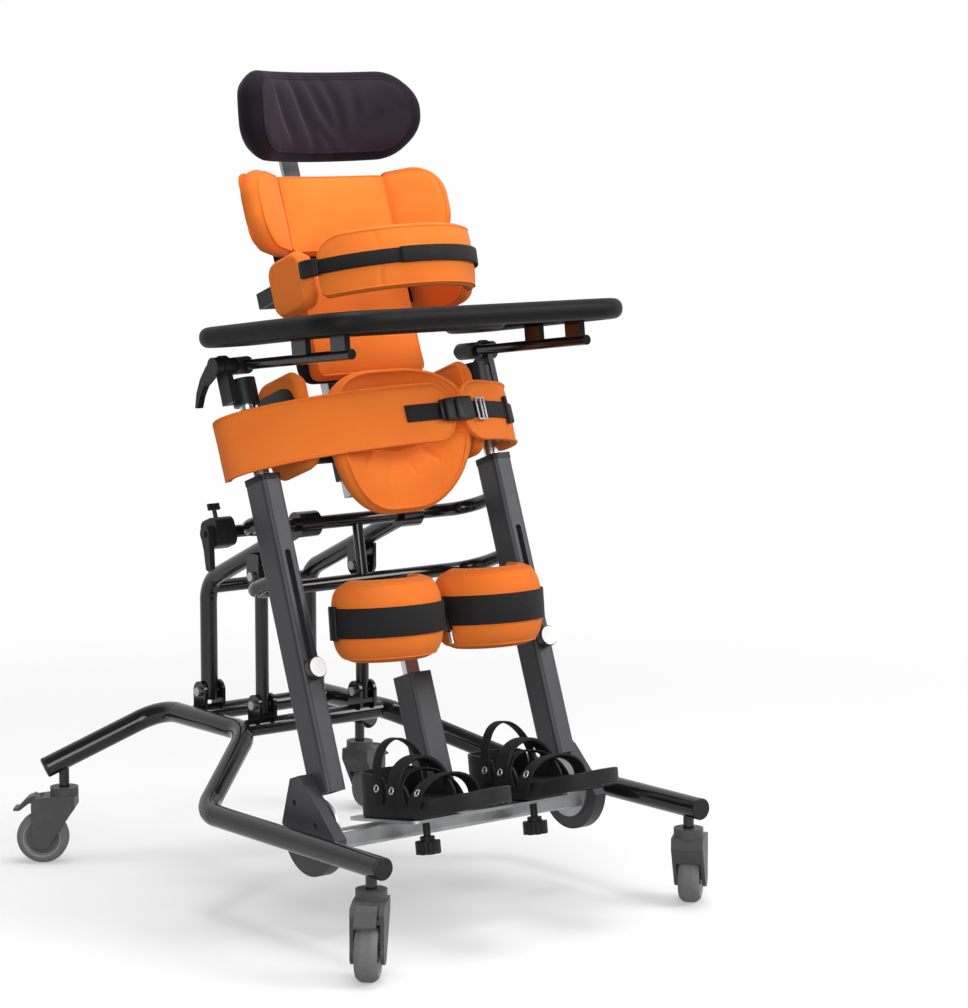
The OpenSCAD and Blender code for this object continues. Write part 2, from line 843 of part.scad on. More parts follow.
module sandal(side) {
    rib_count = 6;
    wall = 4;
    toe_c = heel_y - sandal_len + toe_r;
    color("#232323")
        footed()
            translate([side * sandal_half, 0, sole_z]) {
                difference() {
                    union() {
                        linear_extrude(height = sole_t)
                            sole_outline(0);
                        intersection() {
                            linear_extrude(height = heel_h)
                                sole_outline(0);
                            translate([-sandal_w, heel_y - heel_len, 0])
                                cube([2 * sandal_w, heel_len, heel_h]);
                        }
                    }
                    translate([0, 0, sole_t])
                        linear_extrude(height = heel_h)
                            sole_outline(-wall);
                    for (k = [0 : rib_count - 1])
                        translate([-sandal_w / 2 + 14, -plate_front - 14 - k * 13, -1])
                            cube([sandal_w - 28, 9, sole_t - 5]);
                    translate([0, foot_stud_y, -1])
                        cylinder(h = sole_t - 4, d = foot_stud_d + 2 * slip + 1);
                }
                for (y = [heel_y - heel_len - strap_w, foot_stud_y - strap_w, toe_c + 6])
                    translate([0, y - strap_w / 2, sole_t + soft_gap])
                        rotate([-90, 0, 0])
                            linear_extrude(height = strap_w)
                                intersection() {
                                    difference() {
                                        circle(r = strap_r - wall);
                                        circle(r = strap_r - wall - strap_t);
                                    }
                                    translate([-sandal_w, -2 * sandal_w])
                                        square([2 * sandal_w, 2 * sandal_w]);
                                }
            }
}

foot_knob_d = 34;
foot_knob_h = 17;
foot_knob_z = -91;
module sandal_knob(side) {
    color("#161617")
        footed()
            translate([side * sandal_half, foot_stud_y, foot_knob_z])
                difference() {
                    union() {
                        cylinder(h = foot_knob_h, d = foot_knob_d);
                        cylinder(h = sole_z - foot_knob_z + sole_t - 8, d = foot_stud_d);
                        cylinder(h = foot_knob_h + 6, d = 20);
                    }
                    for (k = [0 : 7])
                        rotate([0, 0, 45 * k])
                            translate([foot_knob_d / 2 + 2, 0, -1])
                                cylinder(h = foot_knob_h + 2, d = 9);
                }
}

// Inner posts and what rides on them
post_top = post_foot_z + post_len;
bridge_drop = 102;
bridge_z = post_top - bridge_drop;
bridge_back = 62;
bridge_d = 20;
collar_h = 26;
collar_wall = 6;
spine_w = 40;
spine_t = 18;
spine_y = bridge_back;
socket_h = 70;
socket_wall = 6;
sacral_plate_y = -14;
seat_plate_t = 5;
seat_plate_w = 118;
seat_plate_r = 24;
seat_arm_w = 40;
seat_arm_h = 24;
seat_arm_drop = 20;
sacral_drop = 14;
sacral_z = bridge_z - sacral_drop;

module inner_posts() {
    color("#b4b8ba")
        leaned()
            both_sides()
                translate([upright_half, 0, post_foot_z])
                    difference() {
                        cylinder(h = post_len, d = post_d);
                        translate([0, 0, -1])
                            cylinder(h = post_len - 4, d = post_d - 2 * tube_wall);
                        translate([0, 0, knob_z - post_foot_z])
                            rotate([90, 0, 0])
                                cylinder(h = post_d, d = stud_d + 2 * run_gap);
                    }
}

module collar(z, h) {
    translate([upright_half, 0, z - h / 2])
        cylinder(h = h, d = post_d + 2 * collar_wall);
}

module post_bridge() {
    start = post_d / 2 + 2;
    color("#1a1a1b")
        leaned()
            difference() {
                union() {
                    bent_rod([[-upright_half, start, bridge_z], [-upright_half, bridge_back, bridge_z],
                        [upright_half, bridge_back, bridge_z], [upright_half, start, bridge_z]],
                        bow_bend_r, bridge_d);
                    both_sides()
                        collar(bridge_z, collar_h);
                    translate([0, spine_y, bridge_z - socket_h / 2])
                        round_block(spine_w + 2 * socket_wall, spine_t + 2 * socket_wall, socket_h, 4);
                    translate([-seat_arm_w / 2, sacral_plate_y, bridge_z - seat_arm_drop])
                        cube([seat_arm_w, spine_y - sacral_plate_y - spine_t / 2 - 1, seat_arm_h]);
                    translate([0, sacral_plate_y + seat_plate_t, sacral_z])
                        rotate([90, 0, 0])
                            linear_extrude(height = seat_plate_t)
                                round_rect(seat_plate_w, seat_plate_w, seat_plate_r);
                }
                both_sides()
                    translate([upright_half, 0, bridge_z - collar_h])
                        cylinder(h = 2 * collar_h, d = post_d + 2 * slip);
                translate([-spine_w / 2 - free_gap, spine_y - spine_t / 2 - free_gap, bridge_z - socket_h])
                    cube([spine_w + 2 * free_gap, spine_t + 2 * free_gap, 2 * socket_h]);
            }
}

hip_inset = 46;
hip_half = upright_half - hip_inset;
sacral_side = 39.5;
sacral_w = 2 * (hip_half - sacral_side);
sacral_h = 200;
sacral_t = 24;
sacral_back = 8;
sacral_bow = 190;

module sacral_pad() {
    color("#e97230")
        leaned()
            translate([0, sacral_plate_y - sacral_back - soft_gap, sacral_z])
                cushion(sacral_w, sacral_h, sacral_t, sacral_back, 0.5, 0, sacral_bow, 0, 12);
}

hip_rise = 37;
hip_z = bridge_z + hip_rise;
hip_y = -2;
hip_len = 96;
hip_h = 92;
guide_t = 5;
guide_rise = 11;
guide_z = hip_z + guide_rise;
module hip_guides() {
    color("#18181a")
        leaned()
            both_sides()
                difference() {
                    union() {
                        translate([hip_half, hip_y, hip_z])
                            rotate([90, 0, 90])
                                linear_extrude(height = guide_t)
                                    round_rect(hip_len - 8, hip_h - 8, 22);
                        translate([hip_half + guide_t - 1, -8, guide_z - 9])
                            cube([upright_half - hip_half - guide_t, 16, 18]);
                        collar(guide_z, 20);
                    }
                    translate([upright_half, 0, guide_z - 50])
                        cylinder(h = 100, d = post_d + 2 * slip);
                }
}

module hip_pads() {
    color("#e97230")
        leaned()
            for (s = [-1, 1])
                translate([s * (hip_half - soft_gap - 6), hip_y, hip_z])
                    rotate([0, 0, -90 * s])
                        cushion(hip_len, hip_h, 20, 6, 0.22, 0.02, 0, 0, 10);
}

// Hip belt: a padded band on an ellipse round the front of the hips
belt_c = [0, 10];
belt_side = 38;
belt_a = upright_half + belt_side;
belt_b = 96;
belt_t = 12;
belt_rise = 20;
belt_z = bridge_z + belt_rise;
function belt_at(t, out) = [belt_c.x + (belt_a + out) * cos(t), belt_c.y - (belt_b + out) * sin(t)];

module belt_band(t0, t1, height, thick, out, steps) {
    rows = [-1, -0.75, 0, 0.75, 1];
    puff = [0.15, 0.85, 1, 0.85, 0.15];
    last = len(rows) - 1;
    round_end = 0.06;
    end_share = function (k) min(1, min(k, steps - k) / steps / round_end);
    taper = function (k) 0.5 + 0.5 * sqrt(1 - pow(1 - end_share(k), 2));
    outer = [for (k = [0 : steps], j = [0 : last])
        let (t = t0 + (t1 - t0) * k / steps, p = belt_at(t, out + thick / 2 * puff[j]))
        [p.x, p.y, rows[j] * height / 2 * taper(k)]];
    inner = [for (k = [0 : steps], j = [0 : last])
        let (t = t0 + (t1 - t0) * k / steps, p = belt_at(t, out - thick / 2 * puff[j]))
        [p.x, p.y, rows[j] * height / 2 * taper(k)]];
    n = last + 1;
    base = n * (steps + 1);
    o = function (k, j) k * n + j;
    i = function (k, j) base + k * n + j;
    skin = [for (k = [0 : steps - 1], j = [0 : last - 1]) each
        [[o(k, j), o(k, j + 1), o(k + 1, j + 1)], [o(k, j), o(k + 1, j + 1), o(k + 1, j)],
         [i(k, j), i(k + 1, j + 1), i(k, j + 1)], [i(k, j), i(k + 1, j), i(k + 1, j + 1)]]];
    edges = [for (k = [0 : steps - 1]) each
        [[o(k, 0), o(k + 1, 0), i(k + 1, 0)], [o(k, 0), i(k + 1, 0), i(k, 0)],
         [o(k, last), i(k + 1, last), o(k + 1, last)], [o(k, last), i(k, last), i(k + 1, last)]]];
    ends = [for (j = [0 : last - 1]) each
        [[o(0, j), i(0, j + 1), o(0, j + 1)], [o(0, j), i(0, j), i(0, j + 1)],
         [o(steps, j), o(steps, j + 1), i(steps, j + 1)], [o(steps, j), i(steps, j + 1), i(steps, j)]]];
    polyhedron(concat(outer, inner), concat(skin, edges, ends));
}

module hip_belt() {
    color("#e97230")
        leaned()
            translate([0, 0, belt_z]) {
                belt_band(211.4, 38, belt_h, belt_t, 0, 40);
                belt_band(33, -14, belt_h - 4, belt_t, 0, 14);
            }
}

buckle_w = 44;
buckle_h = 30;
buckle_t = 9;
buckle_turn = 48;
webbing_w = 24;
webbing_t = 2.4;
module belt_strap() {
    strap_out = belt_t / 2 + soft_gap + webbing_t / 2;
    buckle_p = belt_at(buckle_turn, strap_out + webbing_t / 2);
    color("#120e0d")
        leaned()
            translate([0, 0, belt_z])
                union() {
                    belt_band(78, -8, webbing_w, webbing_t, strap_out, 24);
                    translate([buckle_p.x, buckle_p.y, -buckle_h / 2])
                        rotate([0, 0, atan2(belt_b * cos(buckle_turn), belt_a * sin(buckle_turn))])
                            translate([0, 1 - buckle_t / 2, 0])
                                round_block(buckle_w, buckle_t, buckle_h, 4);
                }
}

// Clamping knobs in the uprights' slots
knob_h = 15;
stud_reach = 5;
module height_knob(side) {
    knob_r = knob_d / 2;
    stud_in = (post_d - upright_t) / 2 - stud_reach;
    color("#f2f2f0")
        leaned()
            translate([side * upright_half, -upright_t / 2 - free_gap, knob_z])
                rotate([90, 0, 0])
                    rotate_extrude()
                        polygon([[0, stud_in], [stud_d / 2, stud_in], [stud_d / 2, 0],
                            [knob_r - 5, 0], [knob_r - 3, 3], [knob_r, 5], [knob_r, knob_h - 3],
                            [knob_r - 2, knob_h], [0, knob_h]]);
}

// Tray, its clamps on the posts and the rods that slide through them
clamp_rise = 20;
clamp_z = post_top + clamp_rise;
clamp_wall = 7;
clamp_h = 36;
barrel_d = rod_d + 10;
barrel_len = 40;
swivel_pin_d = 14;
swivel_depth = 11;
barrel_out = rod_d / 2 + 3 + swivel_depth;
ear_in = barrel_out + 0.5;
ear_t = 9;
ear_w = 26;
tray_lever_t = 12;
holder_bore_gap = 0.08;

module tray_clamps() {
    color("#151516")
        leaned()
            both_sides()
                translate([upright_half, 0, 0])
                    difference() {
                        union() {
                            translate([0, 0, post_top - clamp_h])
                                cylinder(h = clamp_h, d = post_d + 2 * clamp_wall);
                            translate([0, -ear_w / 2 + 2, post_top - clamp_h + 4])
                                cube([ear_in + ear_t, ear_w - 4, clamp_h - 8]);
                            translate([ear_in, -ear_w / 2, post_top - clamp_h + 4])
                                cube([ear_t, ear_w, clamp_h - 4 + clamp_rise]);
                            translate([ear_in, 0, clamp_z])
                                rotate([0, 90, 0])
                                    cylinder(h = ear_t, d = ear_w + 4);
                            translate([ear_in - swivel_depth + 0.5, 0, clamp_z])
                                rotate([0, 90, 0])
                                    cylinder(h = swivel_depth, d = swivel_pin_d);
                            translate([ear_in + ear_t - 1, 0, clamp_z])
                                rotate([0, 90, 0])
                                    cylinder(h = tray_lever_t, d = lever_pin_d);
                        }
                        translate([0, 0, post_top - clamp_h - 1])
                            cylinder(h = clamp_h + 2, d = post_d + 2 * slip);
                    }
}

// A hand lever that hangs back and down from its hub
module tray_lever(side) {
    color("#202022")
        leaned()
            translate([side * (upright_half + ear_in + ear_t + free_gap), 0, clamp_z])
                mirror([side < 0 ? 1 : 0, 0, 0])
                    rotate([90, 0, 90])
                        difference() {
                            union() {
                                cylinder(h = tray_lever_t, d = 26);
                                translate([0, 0, 2])
                                    linear_extrude(height = tray_lever_t - 3)
                                        polygon([[-2, 9], [16, 6], [36, -6], [52, -22], [62, -40],
                                            [56, -42], [44, -28], [30, -18], [-2, -9]]);
                            }
                            translate([0, 0, -1])
                                cylinder(h = tray_lever_t, d = lever_pin_d + 2 * run_gap);
                        }
}

// The tray's own frame: along the rods, turned about the swivel
module on_rods() {
    leaned()
        translate([0, 0, clamp_z])
            rotate([rod_drop, 0, 0])
                children();
}
rod_back = 28;
rod_short = 51;
tray_back = 32;
tray_front = tray_back - tray_depth;
rod_front = -tray_front - rod_short;

module rod_holders() {
    color("#1b1b1c")
        on_rods()
            both_sides()
                translate([upright_half, 0, 0])
                    difference() {
                        union() {
                            rotate([90, 0, 0])
                                cylinder(h = barrel_len, d = barrel_d, center = true);
                            rotate([0, 90, 0])
                                cylinder(h = barrel_out, d = barrel_d - 1);
                        }
                        translate([barrel_out - swivel_depth, 0, 0])
                            rotate([0, 90, 0])
                                cylinder(h = 2 * swivel_depth, d = swivel_pin_d + 2 * run_gap);
                        rotate([90, 0, 0])
                            cylinder(h = 2 * barrel_len, d = rod_d + 2 * holder_bore_gap, center = true);
                    }
}

board_t = 9;
tongue_t = 5;
tongue_w = 10;
tongue_z = (board_t - tongue_t) / 2;
tray_rise = 40;
tray_bottom = tray_rise - board_t / 2;
saddle_front = 75;
saddle_space = 88;
saddle_y = [tray_front + saddle_front + saddle_space, tray_front + saddle_front];
saddle_t = 9;
saddle_len = 32;
module tray_rods() {
    color("#b4b8ba")
        on_rods()
            both_sides()
                union() {
                    translate([upright_half, rod_back, 0])
                        rotate([90, 0, 0])
                            cylinder(h = rod_back + rod_front, d = rod_d);
                    for (y = saddle_y)
                        translate([upright_half - saddle_t / 2, y - saddle_len / 2, 0])
                            cube([saddle_t, saddle_len, tray_bottom]);
                }
}

tray_mid_y = tray_back - tray_depth / 2;
tray_r = 60;
module tray_outline(inset) {
    difference() {
        translate([0, tray_mid_y])
            round_rect(tray_w - 2 * inset, tray_depth - 2 * inset, tray_r - inset);
        translate([0, tray_back - cutout_depth / 2 + 20])
            round_rect(cutout_w + 2 * inset, cutout_depth + 40 + 2 * inset, 60 + inset);
    }
}

module tray_board() {
    color("#2a2a2b")
        on_rods()
            translate([0, 0, tray_bottom])
                union() {
                    linear_extrude(height = board_t)
                        tray_outline(rim_w + slip);
                    translate([0, 0, tongue_z])
                        linear_extrude(height = tongue_t)
                            tray_outline(rim_w - tongue_w + slip);
                }
}

module tray_rim() {
    color("#171715")
        on_rods()
            translate([0, 0, tray_bottom - (rim_t - board_t) / 2])
                difference() {
                    linear_extrude(height = rim_t)
                        tray_outline(0);
                    translate([0, 0, -1])
                        linear_extrude(height = rim_t + 2)
                            tray_outline(rim_w);
                    translate([0, 0, (rim_t - tongue_t) / 2 - slip])
                        linear_extrude(height = tongue_t + 2 * slip)
                            tray_outline(rim_w - tongue_w);
                }
}

// Back and head supports
spine_foot = bridge_z - 60;
shell_y = -4;
shell_t = 5;
lower_back_rise = 169;
lower_back_z = bridge_z + lower_back_rise;
upper_back_rise = 155;
upper_back_z = lower_back_z + upper_back_rise;
spine_rise = 19;
spine_top = upper_back_z + spine_rise;
wing_rise = 5;
wing_z = upper_back_z + wing_rise;
wing_w = 96;
wing_h = 110;
wing_pad_w = wing_w - 8;
wing_turn = 34;
wing_gap = 6;
wing_root = back_w / 2 + 2;
wing_t = 26;
pad_back = 8;

module back_spine() {
    color("#8f9395")
        leaned()
            difference() {
                union() {
                    translate([-spine_w / 2, spine_y - spine_t / 2, spine_foot])
                        cube([spine_w, spine_t, spine_top - spine_foot]);
                    for (z = [lower_back_z - 30, upper_back_z - 20])
                        translate([-30, shell_y + shell_t, z])
                            cube([60, spine_y - spine_t / 2 - shell_y - shell_t, 34]);
                    translate([0, spine_y, spine_top])
                        round_block(head_block_w, 36, head_block_h, 6);
                }
                translate([-stem_w / 2 - free_gap, spine_y - stem_t / 2 - free_gap, spine_top - 60])
                    cube([stem_w + 2 * free_gap, stem_t + 2 * free_gap, 120]);
                translate([0, spine_y, spine_top + head_block_h / 2])
                    rotate([0, 90, 0])
                        cylinder(h = 60, d = head_stud_d + 2 * run_gap);
            }
}

module back_shell() {
    color("#161617")
        leaned()
            union() {
                translate([0, shell_y + shell_t, lower_back_z])
                    rotate([90, 0, 0])
                        linear_extrude(height = shell_t)
                            round_rect(back_w + 18, lower_back_h + 2, 22);
                translate([0, shell_y + shell_t, upper_back_z - 10])
                    rotate([90, 0, 0])
                        linear_extrude(height = shell_t)
                            round_rect(back_w + 18, upper_back_h + 16, 22);
                both_sides()
                    translate([wing_root, shell_y + shell_t, wing_z])
                        rotate([0, 0, -wing_turn])
                            translate([wing_w / 2 - 4, 0, 0])
                                rotate([90, 0, 0])
                                    linear_extrude(height = shell_t)
                                        round_rect(wing_w - 6, wing_h - 8, 20);
            }
}

module back_pads() {
    color("#e97230")
        leaned() {
            translate([0, shell_y - soft_gap - pad_back, lower_back_z])
                cushion(back_w, lower_back_h, back_t - pad_back, pad_back, 0.14, 0.02, 0, 0.35, 14);
            translate([0, shell_y - soft_gap - pad_back, upper_back_z])
                cushion(back_w, upper_back_h, back_t - pad_back, pad_back, 0.16, 0.02, 0, 0, 12);
        }
}

module wing_pads() {
    color("#e97230")
        leaned()
            both_sides()
                translate([wing_root, shell_y + shell_t, wing_z])
                    rotate([0, 0, -wing_turn])
                        translate([wing_pad_w / 2 + wing_gap, -shell_t - soft_gap - pad_back, 0])
                            cushion(wing_pad_w, wing_h, wing_t - pad_back, pad_back, 0.3, 0.02, 0, 0, 10);
}

lateral_back = 6;
arm_t = 4;
lateral_half = chest_r - lateral_back - arm_t;
lateral_rise = 42;
lateral_z = lower_back_z + lateral_rise;
lateral_len = 66;
lateral_y = -77;
lateral_h = 74;
arm_h = 22;
arm_root = 70;
arm_out = lateral_half + lateral_back;
arm_back = shell_y + shell_t;
arm_front = lateral_y;
module lateral_arms() {
    color("#8a8d8f")
        leaned()
            both_sides()
                translate([0, 0, lateral_z - arm_h / 2])
                    linear_extrude(height = arm_h)
                        polygon([[arm_root, arm_back], [arm_out, arm_back], [arm_out, arm_front],
                            [arm_out + arm_t, arm_front], [arm_out + arm_t, arm_back + arm_t],
                            [arm_root, arm_back + arm_t]]);
}

module lateral_pads() {
    color("#e97230")
        leaned()
            for (s = [-1, 1])
                translate([s * (lateral_half - soft_gap), lateral_y, lateral_z])
                    rotate([0, 0, -90 * s])
                        cushion(lateral_len, lateral_h, 18, lateral_back, 0.25, 0.02, 0, 0, 10);
}

chest_c_y = lateral_y + 2;
chest_rise = 55;
chest_z = lower_back_z + chest_rise;
chest_t = 22;
chest_span = 140;
chest_band = 20;
chest_band_t = 2.2;
chest_end = 30;

module chest_pad() {
    color("#e97230")
        leaned()
            translate([0, chest_c_y, chest_z])
                rotate([0, 0, 270 - chest_span / 2])
                    rotate_extrude(angle = chest_span)
                        pad_section(chest_r, chest_t, chest_h);
}

module chest_strap() {
    strap_in = chest_r + soft_gap;
    color("#120e0d")
        leaned()
            translate([0, chest_c_y, chest_z])
                union() {
                    rotate([0, 0, 180])
                        rotate_extrude(angle = 180)
                            translate([strap_in, -chest_band / 2])
                                square([chest_band_t, chest_band]);
                    both_sides()
                        translate([strap_in, -0.1, -chest_band / 2])
                            cube([chest_band_t, chest_end, chest_band]);
                }
}

stem_w = 28;
stem_t = 6;
head_stud_d = 8;
head_rise = 131;
head_z = spine_top + head_rise;
head_back_y = -12;
head_tilt = 14;
head_pad_t = 44;
head_bow = 225;
head_plate_y = head_back_y + 14;
head_plate_t = 5;
head_pad_back = 12;
head_block_w = 64;
head_block_h = 34;
head_knob_d = 24;
head_knob_h = 10;
head_boss_h = 8;
head_boss_d = 12;
head_stud_in = 16;

module head_stem() {
    foot = spine_top - 40;
    color("#a9adaf")
        leaned()
            union() {
                translate([-stem_w / 2, spine_y - stem_t / 2, foot])
                    cube([stem_w, stem_t, head_z - foot]);
                translate([-stem_w / 2, head_plate_y + head_plate_t - 2, head_z - stem_t])
                    cube([stem_w, spine_y + stem_t / 2 - head_plate_y - head_plate_t + 2, stem_t]);
                translate([0, head_plate_y, head_z])
                    rotate([90 + head_tilt, 0, 0])
                        translate([0, 0, -head_plate_t])
                            linear_extrude(height = head_plate_t)
                                round_rect(120, 70, 16);
            }
}

module head_pad() {
    color("#2c222c")
        leaned()
            translate([0, head_plate_y, head_z])
                rotate([head_tilt, 0, 0])
                    translate([0, -soft_gap - head_pad_back, 0])
                        cushion(head_w, head_h, head_pad_t, head_pad_back, 0.28, 0.01, head_bow, 0, 14);
}

module head_knob() {
    color("#161617")
        leaned()
            translate([head_block_w / 2 + free_gap, spine_y, spine_top + head_block_h / 2])
                rotate([0, 90, 0])
                    union() {
                        cylinder(h = head_boss_h, d = head_boss_d);
                        translate([0, 0, head_boss_h])
                            cylinder(h = head_knob_h, d = head_knob_d);
                        translate([0, 0, -head_stud_in])
                            cylinder(h = head_stud_in + 1, d = head_stud_d);
                    }
}

base_frame();
tube_caps();
castor_stems();
castor_fork(0);  // castor_fork_fl
castor_fork(1);  // castor_fork_fr
castor_fork(2);  // castor_fork_rl
castor_fork(3);  // castor_fork_rr
castor_wheel(0);  // castor_wheel_fl
castor_wheel(1);  // castor_wheel_fr
castor_wheel(2);  // castor_wheel_rl
castor_wheel(3);  // castor_wheel_rr
brake_pedal(0);  // brake_pedal_fl
brake_pedal(1);  // brake_pedal_fr
brake_pedal(2);  // brake_pedal_rl
brake_pedal(3);  // brake_pedal_rr
trestle_frame();
trestle_struts();
trestle_bolts();
uprights();
upright_caps();
rear_bows();
foot_brackets();
foot_beam();
knee_housing();
tilt_clamp();
tilt_lever();
inner_posts();
post_bridge();
tray_clamps();
hip_guides();
hip_pads();
sacral_pad();
hip_belt();
belt_strap();
height_knob(-1);  // height_knob_left
height_knob(1);  // height_knob_right
tray_lever(-1);  // tray_lever_left
tray_lever(1);  // tray_lever_right
rod_holders();
tray_rods();
tray_board();
tray_rim();
back_spine();
back_shell();
back_pads();
wing_pads();
lateral_arms();
lateral_pads();
chest_pad();
chest_strap();
head_stem();
head_pad();
head_knob();
sandal(-1);  // sandal_left
sandal(1);  // sandal_right
sandal_knob(-1);  // sandal_knob_left
sandal_knob(1);  // sandal_knob_right
knee_bar();
knee_cup(-1);  // knee_cup_left
knee_cup(1);  // knee_cup_right
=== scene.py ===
import json
import math

import bmesh
import bpy
from mathutils import Matrix, Vector, noise


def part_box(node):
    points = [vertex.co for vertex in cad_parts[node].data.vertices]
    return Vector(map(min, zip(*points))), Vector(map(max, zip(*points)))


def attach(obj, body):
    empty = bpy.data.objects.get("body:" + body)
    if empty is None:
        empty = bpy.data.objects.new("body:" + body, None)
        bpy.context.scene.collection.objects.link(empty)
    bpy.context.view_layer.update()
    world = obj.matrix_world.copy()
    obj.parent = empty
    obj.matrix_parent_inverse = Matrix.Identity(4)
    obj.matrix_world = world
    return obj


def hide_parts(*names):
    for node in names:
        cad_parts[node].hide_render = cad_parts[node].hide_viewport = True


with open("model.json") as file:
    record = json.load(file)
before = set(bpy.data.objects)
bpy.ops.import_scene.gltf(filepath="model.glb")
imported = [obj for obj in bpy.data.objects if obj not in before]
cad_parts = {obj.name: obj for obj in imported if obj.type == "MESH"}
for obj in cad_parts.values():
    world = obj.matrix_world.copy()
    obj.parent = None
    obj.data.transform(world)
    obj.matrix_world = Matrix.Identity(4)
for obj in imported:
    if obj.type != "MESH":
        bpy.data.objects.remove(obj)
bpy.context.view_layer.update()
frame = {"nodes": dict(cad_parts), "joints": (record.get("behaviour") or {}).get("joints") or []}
nodes = frame["nodes"]
mm = 0.001
sides = {"Left": -1, "Right": 1}
print("frame loaded:", len(nodes), "nodes")


def at(x, y, z, turn=0, axis="Z"):
    # a place in millimetres, turned by degrees about one of its axes
    return Matrix.Translation(Vector((x, y, z)) * mm) @ Matrix.Rotation(math.radians(turn), 4, axis)


# The leaning column's own frame: X sideways, Y back from the uprights, Z up along them
column = {"lean": 20, "tiltAxis": (0, 22, 520), "bowPoint": (0, 80, 379), "clampHeight": 590, "rodDrop": 13}
columnFrame = at(*column["tiltAxis"], -column["lean"], "X") @ at(*column["bowPoint"]).inverted()
trayFrame = columnFrame @ at(0, 0, column["clampHeight"], column["rodDrop"], "X")


# Shader maths: a wire is a socket that takes Python's own operators
class Wire:
    def __init__(self, tree, plug=None):
        self.tree = tree
        self.plug = plug

    def node(self, kind, settings, inputs, output=0):
        made = self.tree.nodes.new("ShaderNode" + kind)
        for key, value in settings.items():
            setattr(made, key, value)
        for key, value in inputs.items():
            if isinstance(value, Wire):
                self.tree.links.new(value.plug, made.inputs[key])
            else:
                made.inputs[key].default_value = value
        return Wire(self.tree, made.outputs[output] if made.outputs else None)

    def calc(self, operation, first, second=0.0):
        return self.node("Math", {"operation": operation}, {0: first, 1: second})

    def __add__(self, other):
        return self.calc("ADD", self, other)

    def __sub__(self, other):
        return self.calc("SUBTRACT", self, other)

    def __rsub__(self, other):
        return self.calc("SUBTRACT", other, self)

    def __mul__(self, other):
        return self.calc("MULTIPLY", self, other)

    def __lt__(self, other):
        return self.calc("LESS_THAN", self, other)

    def __gt__(self, other):
        return self.calc("GREATER_THAN", self, other)

    __radd__ = __add__
    __rmul__ = __mul__

    def wave(self, pitch):
        return self.calc("SINE", self * (math.tau / pitch))

    def length(self):
        return self.node("VectorMath", {"operation": "LENGTH"}, {0: self}, "Value")

    def ease(self, low, high):
        inputs = {"Value": self, "From Min": low, "From Max": high}
        return self.node("MapRange", {"interpolation_type": "SMOOTHSTEP"}, inputs)

    def blend(self, first, second):
        return self.node("Mix", {"data_type": "RGBA"}, {0: self, 6: first, 7: second}, 2)

    def noise(self, scale, detail):
        inputs = {"Vector": self, "Scale": scale, "Detail": detail, "Roughness": 0.55}
        return self.node("TexNoise", {}, inputs)

    def stretch(self, scale, place=(0, 0, 0), turn=(0, 0, 0)):
        inputs = {"Vector": self, "Location": place, "Rotation": turn, "Scale": scale}
        return self.node("Mapping", {"vector_type": "TEXTURE"}, inputs)

    def part(self, axis):
        return self.node("SeparateXYZ", {}, {0: self}, "XYZ".index(axis))

    def bump(self, strength, distance):
        return self.node("Bump", {}, {"Height": self, "Strength": strength, "Distance": distance})


def rgb(red, green, blue):
    return (red, green, blue, 1.0)


def finishOf(name, build, over=None, **fixed):
    # build gives the varying inputs, fixed the constant ones, and over lays more shaders on the skin
    made = bpy.data.materials.new(name)
    made.use_nodes = True
    tree = made.node_tree
    tree.nodes.clear()
    start = Wire(tree)
    body = start.node("TexCoord", {}, {}, "Object")
    weave = start.node("TexCoord", {}, {}, "UV")
    inputs = {key.replace("_", " "): value for key, value in fixed.items()}
    inputs.update(build(body, weave))
    skin = start.node("BsdfPrincipled", {}, inputs)
    start.node("OutputMaterial", {}, {"Surface": over(skin) if over else skin})
    return made


# Hard finishes
def paintFinish(name, dark, light, rough, peel, gleam):
    def build(body, weave):
        cloud = body.noise(9, 4)
        fine = body.noise(900, 2)
        return {
            "Base Color": cloud.ease(0.35, 0.7).blend(dark, light),
            "Roughness": rough + 0.07 * (body.noise(40, 4) - 0.5) + 0.05 * fine,
            "Normal": fine.bump(peel, 0.0004),
        }
    return finishOf(name, build, Specular_IOR_Level=gleam)


def plasticFinish(name, dark, light, rough, grain, gleam=0.25):
    def build(body, weave):
        pebble = body.node("TexVoronoi", {"feature": "SMOOTH_F1"}, {"Vector": body, "Scale": 620})
        rub = body.noise(28, 5).ease(0.5, 0.75)
        return {
            "Base Color": (0.8 * rub).blend(dark, light),
            "Roughness": rough + 0.14 * (body.noise(75, 3) - 0.5),
            "Normal": pebble.bump(grain, 0.0005),
        }
    return finishOf(name, build, Specular_IOR_Level=gleam)


def drawnLines(body):
    # the fine lines that drawing leaves along a tube
    return body.stretch((0.0012, 0.0012, 0.03)).noise(1, 3)


def steelFinish(name, tint, shade, rough):
    def build(body, weave):
        drawn = drawnLines(body)
        stain = body.noise(22, 4).ease(0.4, 0.75)
        return {
            "Base Color": stain.blend(tint, shade),
            "Roughness": rough + 0.16 * (drawn - 0.5) + 0.08 * stain,
            "Normal": drawn.bump(0.08, 0.0003),
        }
    return finishOf(name, build, Metallic=1.0)


